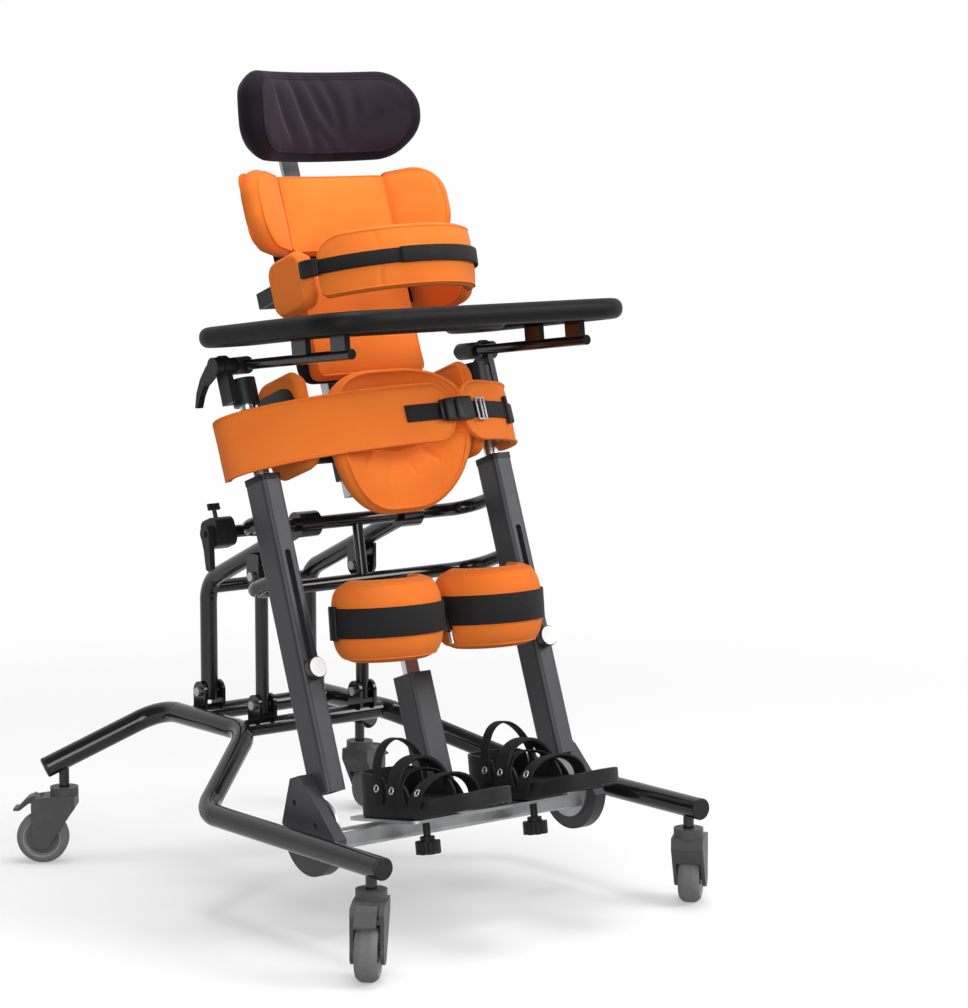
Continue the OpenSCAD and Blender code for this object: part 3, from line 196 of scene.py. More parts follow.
# Cloth finishes
def clothFinish(name, dark, light, side, pitch, raised, **fixed):
    # side is how much painted shade darkens the cloth on a pad's gusset
    def build(body, weave):
        knit = weave.part("X").wave(pitch) * weave.part("Y").wave(pitch)
        worn = body.noise(11, 2).ease(0.25, 0.75)
        fuzz = body.noise(1400, 2)
        tone = 0.12 + 0.34 * worn + 0.3 * fuzz + 0.12 * (1 + knit)
        gusset = body.node("Attribute", {"attribute_name": "gusset"}, {}, "Fac")
        return {
            # painted shade: the gusset faces are darkened towards black by side
            "Base Color": (side * gusset).blend(tone.blend(dark, light), rgb(0, 0, 0)),
            "Roughness": 0.86 + 0.1 * (fuzz - 0.5),
            "Normal": (0.6 * knit + 0.8 * fuzz).bump(raised, 0.0006),
        }
    return finishOf(name, build, Specular_IOR_Level=0.12, **fixed)


def webFinish(name, dark, light):
    ribPitch = 0.0021

    def build(body, weave):
        along, around = weave.part("X"), weave.part("Y")
        rib, thread = along.wave(ribPitch), around.wave(ribPitch)
        twill = (along + around).wave(ribPitch)
        lint = body.noise(500, 3)
        return {
            "Base Color": (0.5 * lint + 0.25 * (1 + twill)).blend(dark, light),
            "Roughness": 0.68 + 0.16 * (lint - 0.5),
            "Normal": (0.5 * rib + 0.3 * thread + 0.4 * twill).bump(0.45, 0.0004),
        }
    return finishOf(name, build, Specular_IOR_Level=0.25)


coverOrange = rgb(0.78, 0.156, 0.017)
glossBlack = paintFinish(
    "glossBlack", rgb(0.0062, 0.0064, 0.007), rgb(0.0088, 0.009, 0.0097), rough=0.1, peel=0.03, gleam=0.45)
uprightGrey = paintFinish(
    "uprightGrey", rgb(0.03, 0.03, 0.034), rgb(0.041, 0.041, 0.046), rough=0.42, peel=0.12, gleam=0.4)
# a moulding has two shades, roughness, grain and gleam; a steel has a tint, a shade and roughness
blackPlastic = plasticFinish("blackPlastic", rgb(0.0095, 0.0095, 0.010), rgb(0.017, 0.017, 0.018), 0.44, 0.1)
castorGrey = plasticFinish("castorGrey", rgb(0.072, 0.072, 0.074), rgb(0.098, 0.098, 0.101), 0.5, 0.1)
sandalBlack = plasticFinish("sandalBlack", rgb(0.0125, 0.0125, 0.0128), rgb(0.022, 0.022, 0.022), 0.6, 0.16)
rimBlack = plasticFinish("rimBlack", rgb(0.0055, 0.0055, 0.0054), rgb(0.009, 0.009, 0.0088), 0.5, 0.07, 0.12)
boardBlack = plasticFinish("boardBlack", rgb(0.015, 0.015, 0.0155), rgb(0.024, 0.024, 0.025), 0.38, 0.04)
brightSteel = steelFinish("brightSteel", rgb(0.66, 0.67, 0.68), rgb(0.5, 0.51, 0.53), 0.26)
satinSteel = steelFinish("satinSteel", rgb(0.42, 0.43, 0.44), rgb(0.33, 0.34, 0.35), 0.4)
# side sets the painted shade on the pads' gussets: faint on the orange cloth, strong on the plum
orangeCloth = clothFinish(
    "orangeCloth", coverOrange, rgb(0.91, 0.23, 0.038), side=0.1, pitch=0.0026, raised=0.3,
    Sheen_Weight=0.22, Sheen_Roughness=0.45, Sheen_Tint=rgb(1.0, 0.62, 0.34))
plumCloth = clothFinish(
    "plumCloth", rgb(0.016, 0.0105, 0.0165), rgb(0.033, 0.023, 0.0345), side=0.62, pitch=0.0022, raised=0.25,
    Sheen_Weight=0.12, Sheen_Roughness=0.4, Sheen_Tint=rgb(0.75, 0.62, 0.8))
blackWeb = webFinish("blackWeb", rgb(0.0042, 0.0038, 0.0038), rgb(0.0105, 0.0098, 0.0098))


def roundAxis(body, centre, axis):
    # places with Z along an axis through a centre, and their distance from that axis
    turn = Vector((0, 0, 1)).rotation_difference(axis).to_euler()
    local = body.stretch((1, 1, 1), centre, turn)
    return local, local.node("VectorMath", {"operation": "MULTIPLY"}, {0: local, 1: (1, 1, 0)}).length()


def wheelFinish(name, centre, axle, radius):
    # tread, rim ring, hub and boss are told apart by the distance from the axle
    zones = {"tread": 0.74 * radius, "ring": 0.62 * radius, "boss": 0.2 * radius}

    def build(body, weave):
        reach = roundAxis(body, centre, axle)[1]
        tyre = reach > zones["tread"]
        ring = (reach > zones["ring"]) - tyre
        boss = reach < zones["boss"]
        scuff = body.noise(160, 5)
        hub = scuff.blend(rgb(0.075, 0.076, 0.079), rgb(0.095, 0.096, 0.1))
        tread = scuff.blend(rgb(0.13, 0.13, 0.133), rgb(0.2, 0.2, 0.203))
        shade = tyre.blend(ring.blend(hub, rgb(0.27, 0.27, 0.27)), tread)
        return {
            "Base Color": boss.blend(shade, rgb(0.3, 0.3, 0.3)),
            "Roughness": 0.5 + 0.22 * tyre + 0.12 * (scuff - 0.5),
            "Normal": body.noise(700, 3).bump(0.1, 0.0004),
        }
    return finishOf(name, build, Specular_IOR_Level=0.35)


def knobFinish(name, centre, axis, faceRadius):
    # a white cap let into a dark skirt
    def build(body, weave):
        local, reach = roundAxis(body, centre, axis)
        cap = (reach < faceRadius) * (local.part("Z") > 0)
        dust = body.noise(120, 4)
        white = dust.blend(rgb(0.78, 0.78, 0.77), rgb(0.86, 0.86, 0.85))
        return {
            "Base Color": cap.blend(rgb(0.02, 0.02, 0.021), white),
            "Roughness": 0.34 + 0.1 * (dust - 0.5),
            "Normal": body.noise(800, 2).bump(0.05, 0.0003),
        }
    return finishOf(name, build)


def partedFinish(name, place, top):
    # bright steel up to a height in a frame, moulded black above it
    def build(body, weave):
        steel = body.stretch((1, 1, 1), place.translation, place.to_euler()).part("Z") < top
        bright = body.noise(30, 4).blend(rgb(0.5, 0.51, 0.53), rgb(0.62, 0.63, 0.64))
        drawn = drawnLines(body)
        return {
            "Base Color": steel.blend(rgb(0.012, 0.012, 0.0125), bright),
            "Metallic": steel,
            "Roughness": 0.46 - 0.16 * steel + 0.14 * (drawn - 0.5),
            "Normal": drawn.bump(0.08, 0.0003),
        }
    return finishOf(name, build)


def spreadFinish(name, inner, outer, reach):
    # one colour in the middle and another beyond a distance from the middle plane
    def build(body, weave):
        far = body.calc("ABSOLUTE", body.part("X")) > reach
        return {
            "Base Color": far.blend(inner, outer),
            "Roughness": 0.75 + 0.2 * (body.noise(60, 4) - 0.5),
            "Normal": body.noise(900, 2).bump(0.1, 0.0004),
        }
    return finishOf(name, build, Specular_IOR_Level=0.15)


def paint(finish, *names):
    for name in names:
        mesh = nodes[name].data
        mesh.materials.clear()
        mesh.materials.append(finish)


def middle(name):
    low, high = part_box(name)
    return (low + high) / 2


def jointOf(name):
    return next(joint for joint in frame["joints"] if joint["name"] == name)


# In millimetres: how far out the knobs' caps lie, and where the knee bar's steel and the shell's black end
hardSet = {"wheelRadius": 37.5, "capOut": 10, "capRadius": 13.2, "kneeSteelTop": 184, "shellBlackHalf": 105}
paint(glossBlack, "base_frame", "trestle_frame", "trestle_struts", "rear_bows", "tray_rods", "castor_stems")
paint(uprightGrey, "uprights", "knee_housing", "foot_brackets")
paint(blackPlastic, "tube_caps", "upright_caps", "tilt_clamp", "tilt_lever", "post_bridge")
paint(blackPlastic, "tray_clamps", "hip_guides", "rod_holders", "head_knob", "lateral_arms")
paint(brightSteel, "inner_posts")
paint(satinSteel, "head_stem", "trestle_bolts", "back_spine")
paint(boardBlack, "tray_board")
paint(steelFinish("footSteel", rgb(0.4, 0.405, 0.41), rgb(0.3, 0.305, 0.31), 0.4), "foot_beam")
paint(partedFinish("barSteel", columnFrame, hardSet["kneeSteelTop"] * mm), "knee_bar")
shellBlack = rgb(0.01, 0.01, 0.0105)
paint(spreadFinish("shellCover", shellBlack, coverOrange, hardSet["shellBlackHalf"] * mm), "back_shell")
for side in sides:
    hand = "_" + side.lower()
    paint(blackPlastic, "tray_lever" + hand, "sandal_knob" + hand)
    joint = jointOf("height_knob_turn" + hand)
    axis = Vector(joint["axis"])
    capAt = Vector(joint["pos_m"]) + hardSet["capOut"] * mm * axis
    paint(knobFinish("knobWhite" + side, capAt, axis, hardSet["capRadius"] * mm), "height_knob" + hand)
for key in ("fl", "fr", "rl", "rr"):
    paint(castorGrey, "castor_fork_" + key, "brake_pedal_" + key)
    wheel = "castor_wheel_" + key
    axle = Vector(jointOf("castor_roll_" + key)["axis"])
    radius = hardSet["wheelRadius"] * mm
    paint(wheelFinish("wheelGrey" + key.title(), middle(wheel), axle, radius), wheel)
print("finishes set on the frame")


# Mesh helpers
weldGap = 1e-6


def pieceFrom(bm, name, finish, smooth=True):
    bmesh.ops.remove_doubles(bm, verts=bm.verts[:], dist=weldGap)
    bmesh.ops.recalc_face_normals(bm, faces=bm.faces[:])
    mesh = bpy.data.meshes.new(name)
    bm.to_mesh(mesh)
    bm.free()
    mesh.polygons.foreach_set("use_smooth", [smooth] * len(mesh.polygons))
    mesh.materials.append(finish)
    made = bpy.data.objects.new(name, mesh)
    bpy.context.scene.collection.objects.link(made)
    return made


def settle(piece, body, slot, *replaced):
    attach(piece, body)
    if replaced:
        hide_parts(*replaced)


def settlePad(piece, body, node, slot="orange_fabric"):
    settle(piece, body, slot, node)


def roundSection(width, height, radius, steps=4):
    # a rounded rectangle in XY, given in millimetres, as a ring of points
    ring = []
    for quarter, (sx, sy) in enumerate(((1, 1), (-1, 1), (-1, -1), (1, -1))):
        for step in range(steps + 1):
            turn = math.radians(90 * (quarter + step / steps))
            x = sx * (width / 2 - radius) + radius * math.cos(turn)
            y = sy * (height / 2 - radius) + radius * math.sin(turn)
            spot = Vector((x, y, 0)) * mm
            if not ring or min((spot - ring[-1]).length, (spot - ring[0]).length) > weldGap:
                ring.append(spot)
    return ring


def placesAlong(points, facings, closed=False):
    # a place at each point: Z along the run, Y towards the point's facing
    places = []
    for index, (point, facing) in enumerate(zip(points, facings)):
        before = points[index - 1] if closed or index else point
        after = points[(index + 1) % len(points)] if closed or index + 1 < len(points) else point
        run = (after - before).normalized()
        across = facing.cross(run).normalized()
        turn = Matrix((across, run.cross(across), run)).transposed().to_4x4()
        places.append(Matrix.Translation(point) @ turn)
    return places


def extruded(bm, edges):
    # the new vertices, their edges and the new faces
    grown = bmesh.ops.extrude_edge_only(bm, edges=edges)["geom"]
    fresh = {item for item in grown if isinstance(item, bmesh.types.BMVert)}
    edges = [item for item in grown if isinstance(item, bmesh.types.BMEdge) and set(item.verts) <= fresh]
    return fresh, edges, [item for item in grown if isinstance(item, bmesh.types.BMFace)]


def sweep(bm, ring, places, closed=False):
    # a closed ring is extruded from place to place; its UV runs along and around it, in metres
    uv = bm.loops.layers.uv.verify()
    corner = bm.verts.layers.int.get("corner") or bm.verts.layers.int.new("corner")
    known = set(bm.faces)
    girth = [0.0]
    for a, b in zip(ring, ring[1:] + ring[:1]):
        girth.append(girth[-1] + (b - a).length)
    verts = [bm.verts.new(places[0] @ point) for point in ring]
    for index, vert in enumerate(verts):
        vert[corner] = index
    edges = first = [bm.edges.new(pair) for pair in zip(verts, verts[1:] + verts[:1])]
    travel = {vert: 0.0 for vert in verts}
    gone = 0.0
    for before, place in zip(places, places[1:]):
        fresh, edges = extruded(bm, edges)[:2]
        gone += (place.translation - before.translation).length
        travel.update((vert, gone) for vert in fresh)
        bmesh.ops.transform(bm, matrix=place @ before.inverted(), verts=list(fresh))
    if closed:
        bmesh.ops.bridge_loops(bm, edges=first + edges)
    else:
        bmesh.ops.edgeloop_fill(bm, edges=first)
        bmesh.ops.edgeloop_fill(bm, edges=edges)
    for face in bm.faces:
        if face in known:
            continue
        lastCorner = len(ring) - 1 in [vert[corner] for vert in face.verts]
        for loop in face.loops:
            around = len(ring) if lastCorner and loop.vert[corner] == 0 else loop.vert[corner]
            loop[uv].uv = (travel[loop.vert], girth[around])


def roundedLoop(corners, radius, steps):
    # a closed run through corner points, each rounded to a radius in millimetres
    corners = [Vector(corner) * mm for corner in corners]
    run = []
    for index, corner in enumerate(corners):
        inward = corners[index - 1] - corner
        onward = corners[(index + 1) % len(corners)] - corner
        cut = min(radius * mm, 0.48 * inward.length, 0.48 * onward.length)
        first = corner + inward.normalized() * cut
        last = corner + onward.normalized() * cut
        for step in range(steps + 1):
            share = step / steps
            run.append((1 - share) ** 2 * first + 2 * share * (1 - share) * corner + share ** 2 * last)
    return run


# Padded cloth: a flat slab with a face, a gusset and a back, blown up, creased, bent and placed
padWork = {
    "cell": 6.0, "gussetCuts": 3, "seamCrease": 0.8, "blownCrown": 0.45, "backCrown": 0.4, "frames": 20,
    "unevenness": 0.5, "unevenScale": 38,
}
clothWork = {
    "quality": 5, "mass": 0.25, "tension_stiffness": 14, "compression_stiffness": 14, "shear_stiffness": 6,
    "bending_stiffness": 0.6, "use_pressure": True, "vertex_group_mass": "seam",
}
seams = {"face": 1.0, "back": 2.0, "board": 3.0}
pads = {}


def outlinePoint(u, v, size, corners, inset):
    # u and v run from -0.5 to 0.5; corners are (x radius, z radius) for the four quarters
    width, height = size[0] - 2 * inset, size[1] - 2 * inset
    x, z = u * width, v * height
    rx, rz = corners[(1 if u > 0 else 0) + (2 if v > 0 else 0)]
    rx, rz = max(rx - inset, 1), max(rz - inset, 1)
    a = (abs(x) - (width / 2 - rx)) / rx
    b = (abs(z) - (height / 2 - rz)) / rz
    if a > 0 and b > 0:
        a, b = a * math.sqrt(1 - b * b / 2), b * math.sqrt(1 - a * a / 2)
        x = math.copysign(width / 2 - rx + a * rx, u)
        z = math.copysign(height / 2 - rz + b * rz, v)
    return x, z


def makeSlab(name, pad, finish):
    front, back, flatBack = -pad["face"], pad["back"], pad.get("flatBack")
    pull = pad.get("pull", 0.0)
    corners = pad["corners"]
    corners = corners if isinstance(corners, tuple) else ((corners, corners),) * 4
    across, up = (round(length / padWork["cell"]) for length in pad["size"])
    bm = bmesh.new()
    bmesh.ops.create_grid(bm, size=0.5, x_segments=across, y_segments=up)
    bmesh.ops.solidify(bm, geom=bm.faces[:], thickness=1.0)
    low = min(vert.co.z for vert in bm.verts)
    for vert in bm.verts:
        vert.co.z -= low
    upright = [edge for edge in bm.edges if abs(edge.verts[0].co.z - edge.verts[1].co.z) > 0.5]
    bmesh.ops.subdivide_edges(bm, edges=upright, cuts=padWork["gussetCuts"], use_grid_fill=True)
    seam = bm.verts.layers.float.new("seam")
    crease = bm.edges.layers.float.new("crease_edge")
    gusset = bm.faces.layers.float.new("gusset")
    spots = {vert: vert.co.copy() for vert in bm.verts}
    edgeOn = {vert: max(abs(spot.x), abs(spot.y)) > 0.4999 for vert, spot in spots.items()}
    for vert, spot in spots.items():
        depth = 1 - spot.z
        inset = pad["inset"] * (1 - math.sin(math.pi * depth)) if edgeOn[vert] else pad["inset"]
        x, z = outlinePoint(spot.x, spot.y, pad["size"], corners, inset)
        x *= 1 - pull * (1 - 4 * spot.y * spot.y)
        z *= 1 - pull * (1 - 4 * spot.x * spot.x)
        crown = pad["crown"] * math.sqrt(max(0.0, (1 - (2 * spot.x) ** 4) * (1 - (2 * spot.y) ** 4)))
        y = front + (back - front) * depth
        onFace, onBack = depth < 0.01, depth > 0.99
        if onFace:
            y -= crown * padWork["blownCrown"]
        elif onBack and not flatBack:
            y += padWork["backCrown"] * crown
        if edgeOn[vert] and (onFace or onBack):
            vert[seam] = seams["face" if onFace else "back"]
        elif onBack and flatBack:
            vert[seam] = seams["board"]
        vert.co = Vector((x, y, z)) * mm
    for edge in bm.edges:
        if {vert[seam] for vert in edge.verts} in ({seams["face"]}, {seams["back"]}):
            edge[crease] = padWork["seamCrease"]
    bmesh.ops.recalc_face_normals(bm, faces=bm.faces[:])
    uv = bm.loops.layers.uv.verify()
    for face in bm.faces:
        # the gusset mark lets the cloth finishes paint shade on these faces
        face[gusset] = float(all(edgeOn[vert] for vert in face.verts))
        face.normal_update()
        lie = max(range(3), key=lambda axis: abs(face.normal[axis]))
        for loop in face.loops:
            spot = loop.vert.co
            loop[uv].uv = ((spot.y, spot.z), (spot.x, spot.z), (spot.x, spot.y))[lie]
    made = pieceFrom(bm, name, finish)
    pins = made.vertex_groups.new(name="seam")
    for index, mark in enumerate(made.data.attributes["seam"].data):
        if mark.value > 0:
            pins.add([index], 1.0, "REPLACE")
    pads[name] = (made, pad)


def blowUp():
    # every pad is blown up at the same time, and no point moves further than its pad's cap
    scene = bpy.context.scene
    held = {}
    for name, (made, pad) in pads.items():
        held[name] = [vert.co.copy() for vert in made.data.vertices]
        cloth = made.modifiers.new("puff", "CLOTH").settings
        for key, value in clothWork.items():
            setattr(cloth, key, value)
        cloth.uniform_pressure_force = pad["pressure"]
        cloth.effector_weights.gravity = 0
    for step in range(1, padWork["frames"] + 1):
        scene.frame_set(step)
    graph = bpy.context.evaluated_depsgraph_get()
    for name, (made, pad) in pads.items():
        blown = [vert.co.copy() for vert in made.evaluated_get(graph).data.vertices]
        made.modifiers.clear()
        far = 0.0
        for vert, rest, full in zip(made.data.vertices, held[name], blown):
            move = full - rest
            far = max(far, move.length)
            if move.length > pad["cap"] * mm:
                move.length = pad["cap"] * mm
            vert.co = rest + move
        print("blown up:", name, "moved", round(far / mm, 1), "mm")
    scene.frame_set(1)


def nearLine(x, z, line):
    # distance from a polyline, and how far along it, from 0 to 1
    best, share = math.inf, 0.0
    spot = Vector((x, z))
    for index, ends in enumerate(zip(line, line[1:])):
        a, b = (Vector(end) * mm for end in ends)
        along = max(0.0, min(1.0, (spot - a).dot(b - a) / (b - a).length_squared))
        gap = (spot - a - along * (b - a)).length
        if gap < best:
            best, share = gap, (index + along) / (len(line) - 1)
    return best, share


def creasePad(made, pad):
    middleY = (pad["back"] - pad["face"]) / 2 * mm
    for vert in made.data.vertices:
        spot = vert.co
        if spot.y > middleY:
            continue
        sink = 0.0
        for line, depth, width, tapered in pad.get("creases", ()):
            gap, share = nearLine(spot.x, spot.z, line)
            if gap < 3 * width * mm:
                ends = math.sin(math.pi * share) ** 0.6 if tapered else 1.0
                sink += depth * ends * math.exp(-((gap / (width * mm)) ** 2))
        sink += padWork["unevenness"] * noise.noise(Vector((spot.x, spot.z, 0.3)) * padWork["unevenScale"])
        vert.co.y += sink * mm


def seamRun(made, mark):
    # the points along one seam, in order
    marks = [item.value for item in made.data.attributes["seam"].data]
    linked = {}
    for edge in made.data.edges:
        a, b = edge.vertices
        if abs(marks[a] - mark) < 0.01 and abs(marks[b] - mark) < 0.01:
            linked.setdefault(a, []).append(b)
            linked.setdefault(b, []).append(a)
    linked = {key: near for key, near in linked.items() if len(near) == 2}
    start = min(linked)
    run, last, here = [], None, start
    while True:
        run.append(here)
        onward = [near for near in linked[here] if near != last and near in linked]
        last, here = here, onward[0]
        if here == start:
            return run


def finishPad(name, place, bend=None):
    made, pad = pads[name]
    refine = made.modifiers.new("refine", "SUBSURF")
    refine.levels = refine.render_levels = 1
    graph = bpy.context.evaluated_depsgraph_get()
    fine = bpy.data.meshes.new_from_object(made.evaluated_get(graph))
    made.modifiers.clear()
    made.data = fine
    creasePad(made, pad)
    for vert in fine.vertices:
        vert.co = place @ (bend(vert.co) if bend else vert.co)
    fine.update()
    bm = bmesh.new()
    bm.from_mesh(fine)
    ring = roundSection(2 * pad["welt"], 2 * pad["welt"], pad["welt"], 2)
    for seam in pad.get("weltOn", ("face",)):
        run = [fine.vertices[index] for index in seamRun(made, seams[seam])]
        points = [vert.co.copy() for vert in run]
        normals = [vert.normal.copy() for vert in run]
        sweep(bm, ring, placesAlong(points, normals, True), True)
    bm.to_mesh(fine)
    bm.free()
    fine.polygons.foreach_set("use_smooth", [True] * len(fine.polygons))
    return made


def arcBend(radius):
    # bends a flat piece about Z: a positive radius brings its ends forward, a negative one takes them back
    reach = radius * mm

    def bend(spot):
        turn = spot.x / reach
        x = (reach + spot.y) * math.sin(turn)
        y = (reach + spot.y) * math.cos(turn) - reach
        return Vector((x, y, spot.z))
    return bend


def flatWidth(chord, radius):
    return 2 * radius * math.asin(chord / (2 * radius))


# Head pad: a boxed pad with slack cloth drawn into slanting folds
# each crease has its line, its depth, its width and whether it runs out at its ends
headSet = {
    "bow": 225, "plate": (0, 2, 942), "tilt": 14, "gap": 1.3, "size": (flatWidth(298, 225), 125),
    "face": 26, "back": 11, "inset": 13, "corners": ((60, 52), (68, 60), (44, 36), (62, 58)), "crown": 17,
    "cap": 14, "flatBack": True, "welt": 1.1, "pressure": 4.5, "pull": -0.03,
    "creases": (
        (((-112, 40), (-92, -4), (-58, -48)), 5.0, 9, True),
        (((-66, 54), (-46, 8), (-10, -52)), 6.8, 10, True),
        (((-30, 56), (-8, 14), (36, -46)), 6.2, 10, True),
        (((4, 56), (22, 18), (44, -52)), 6.6, 10, True),
        (((56, 50), (60, 4), (48, -50)), 5.0, 10, True),
        (((104, 8), (80, -24), (56, -52)), 4.8, 9, True),
        (((-18, -12), (6, -34), (30, -56)), 4.0, 7, True),
    ),
}
makeSlab("headPad", headSet, plumCloth)

# Back panels and shoulder wings
lowerBackSet = {
    "at": (0, -12.3, 635.5), "size": (189, 160), "face": 17, "back": 7.5, "inset": 5, "corners": 14,
    "crown": 10, "cap": 10, "flatBack": True, "welt": 1.5, "pressure": 3.5, "pull": 0.015,
    "creases": ((((-80, 4), (0, 0), (80, 4)), 2.2, 3.0, False),),
}
upperBackSet = {
    "at": (0, -12.3, 792), "size": (189, 117), "face": 17, "back": 7.5, "inset": 5, "corners": 12,
    "crown": 9, "cap": 9, "flatBack": True, "welt": 1.3, "pressure": 3.5, "pull": 0.01,
}
wingSet = {
    "root": (97, 1, 797), "turn": 34, "offset": (50, -13.3, -3), "size": (94, 121), "face": 14, "back": 14,
    "inset": 7, "corners": ((14, 14), (44, 54), (14, 14), (50, 48)), "crown": 9, "cap": 9,
    "flatBack": True, "welt": 1.3, "pressure": 4.0,
}
makeSlab("backPadLower", lowerBackSet, orangeCloth)
makeSlab("backPadUpper", upperBackSet, orangeCloth)
makeSlab("wingPadRight", wingSet, orangeCloth)

# Lateral pads and the chest pad that spans them
lateralSet = {
    "half": 131.7, "z": 679, "face": 11, "back": 12.5, "inset": 6, "corners": 24,
    "crown": 8, "cap": 8, "flatBack": True, "welt": 1.3, "pressure": 4.0,
}
lateralRuns = {"Left": {"y": -70, "size": (84, 84)}, "Right": {"y": -49, "size": (126, 84)}}
chestSet = {
    "radius": 142, "half": 11, "centreY": -75, "z": 692, "pitch": 7, "size": (320, 87), "face": 7, "back": 8,
    "inset": 5, "corners": ((14, 20), (26, 30), (44, 38), (26, 30)), "crown": 5, "cap": 6,
    "welt": 1.1, "weltOn": ("face", "back"), "pressure": 3.0,
    "creases": ((((-74, -36), (-71, -12)), 1.6, 2.5, False), (((-71, 14), (-74, 36)), 1.2, 2.5, False)),
}
for side, run in lateralRuns.items():
    makeSlab("lateralPad" + side, dict(lateralSet, size=run["size"]), orangeCloth)
makeSlab("chestPad", chestSet, orangeCloth)

# Hip pads and the scooped seat pad
hipSet = {
    "half": 145.7, "y": -5, "z": 499, "size": (106, 138), "face": 12, "back": 5.5, "inset": 6, "corners": 26,
    "crown": 9, "cap": 9, "flatBack": True, "welt": 1.4, "pressure": 4.0,
}
sacralSet = {
    "bow": 190, "at": (0, -22.3, 460), "leanFrom": 30, "lean": 24, "size": (flatWidth(246, 190), 200),
    "face": 13, "back": 7, "inset": 6, "corners": ((112, 132), (112, 132), (116, 72), (116, 72)),
    "crown": 11, "cap": 9, "flatBack": True, "welt": 2.2, "pressure": 3.5,
    "creases": (
        (((-84, -2), (0, -14), (84, -2)), 4.2, 3.6, False),
        (((-46, 34), (-46, -8)), 3.0, 3.0, False),
        (((-46, -8), (-20, 30)), 2.6, 3.2, True),
        (((46, 34), (46, -8)), 3.0, 3.0, False),
        (((46, -8), (20, 30)), 2.6, 3.2, True),
        (((-74, -36), (-40, -12)), 3.2, 4.0, True),
        (((74, -36), (40, -12)), 3.2, 4.0, True),
        (((-22, -60), (-8, -16)), 2.6, 4.5, True),
        (((30, -54), (14, -16)), 2.6, 4.5, True),
    ),
}
makeSlab("hipPadRight", hipSet, orangeCloth)
makeSlab("sacralPad", sacralSet, orangeCloth)

# Knee cups: a pad wrapped round the front of each knee
cupSet = {
    "half": 86, "y": -55, "z": 215, "pitch": 14, "radius": 64, "barrel": 15, "size": (262, 112),
    "face": 10, "back": 10, "inset": 7, "corners": ((24, 34),) * 4, "crown": 4, "cap": 8,
    "welt": 1.1, "weltOn": ("face", "back"), "pressure": 3.5,
}
makeSlab("kneeCupLeft", cupSet, orangeCloth)
makeSlab("kneeCupRight", cupSet, orangeCloth)

# Hip belt: two padded bands on one ellipse round the hips, edged with a binding
beltRun = {"centreY": 10, "a": 236, "b": 96, "z": 484, "roll": -1.2}
beltFrame = columnFrame @ at(0, 0, beltRun["z"], beltRun["roll"], "Y")
beltMainSet = {
    "span": (199, 70), "height": 84, "face": 4.2, "back": 4.2, "inset": 2.0, "crown": 1.5, "cap": 3.5,
    "welt": 2.2, "pressure": 2.0, "corners": ((10, 10), (40, 40), (10, 10), (40, 40)),
}
beltEndSet = dict(beltMainSet, span=(66, -14), height=86, corners=((36, 40), (10, 10), (36, 40), (10, 10)))


def beltPoint(turn, out):
    turn = math.radians(turn)
    across = Vector((beltRun["a"] * math.sin(turn), beltRun["b"] * math.cos(turn), 0)).normalized()
    normal = Vector((across.y, -across.x, 0))
    spot = Vector((beltRun["a"] * math.cos(turn), beltRun["centreY"] - beltRun["b"] * math.sin(turn), 0))
    return (spot + normal * out) * mm, normal


def spanSteps(span, steps):
    # even steps from one end of a span to the other
    return [span[0] + (span[1] - span[0]) * step / steps for step in range(steps + 1)]


def beltLengths(span):
    # how far along the belt each of many even steps of its span lies
    spots = [beltPoint(turn, 0)[0] for turn in spanSteps(span, 400)]
    lengths = [0.0]
    for a, b in zip(spots, spots[1:]):
        lengths.append(lengths[-1] + (b - a).length)
    return lengths


def beltBend(span):
    lengths = beltLengths(span)
    steps = len(lengths) - 1

    def bend(spot):
        reach = min(max(spot.x + lengths[-1] / 2, 0.0), lengths[-1])
        low = next(step for step in range(steps) if lengths[step + 1] >= reach - 1e-9)
        share = (reach - lengths[low]) / (lengths[low + 1] - lengths[low])
        turn = span[0] + (span[1] - span[0]) * (low + share) / steps
        point = beltPoint(turn, -spot.y / mm)[0]
        return Vector((point.x, point.y, spot.z))
    return bend


beltBands = {"hipBeltMain": beltMainSet, "hipBeltEnd": beltEndSet}
for name, band in beltBands.items():
    band["size"] = (beltLengths(band["span"])[-1] / mm, band["height"])
    makeSlab(name, band, orangeCloth)

blowUp()
print("pads shaped:", len(pads))

headPlate = columnFrame @ at(*headSet["plate"], headSet["tilt"], "X")
headOut = at(0, -headSet["back"] - headSet["gap"], 0)
headPad = finishPad("headPad", headPlate @ headOut, arcBend(headSet["bow"]))
settlePad(headPad, "headrest", "head_pad", "head_fabric")

for name, pad in (("backPadLower", lowerBackSet), ("backPadUpper", upperBackSet)):
    panel = finishPad(name, columnFrame @ at(*pad["at"]))
    settlePad(panel, "backrest", "back_pads")


def mirrored(piece, name):
    bm = bmesh.new()
    bm.from_mesh(piece.data)
    bmesh.ops.scale(bm, vec=(-1, 1, 1), verts=bm.verts[:])
    return pieceFrom(bm, name, piece.data.materials[0])


def padPair(stem, place, body, node):
    right = finishPad(stem + "Right", columnFrame @ place)
    left = mirrored(right, stem + "Left")
    for piece in (left, right):
        settlePad(piece, body, node)


wingPlace = at(*wingSet["root"], -wingSet["turn"]) @ at(*wingSet["offset"])
padPair("wingPad", wingPlace, "backrest", "wing_pads")
for side, sign in sides.items():
    lateralPlace = at(sign * lateralSet["half"], lateralRuns[side]["y"], lateralSet["z"], -90 * sign)
    lateral = finishPad("lateralPad" + side, columnFrame @ lateralPlace)
    settlePad(lateral, "backrest", "lateral_pads")
padPair("hipPad", at(hipSet["half"], hipSet["y"], hipSet["z"], -90), "upper_frame", "hip_pads")

chestMid = chestSet["radius"] - chestSet["half"]
chestPlace = columnFrame @ at(0, chestSet["centreY"], chestSet["z"], chestSet["pitch"], "X")
chestPad = finishPad("chestPad", chestPlace @ at(0, -chestMid, 0), arcBend(-chestMid))
settlePad(chestPad, "backrest", "chest_pad")


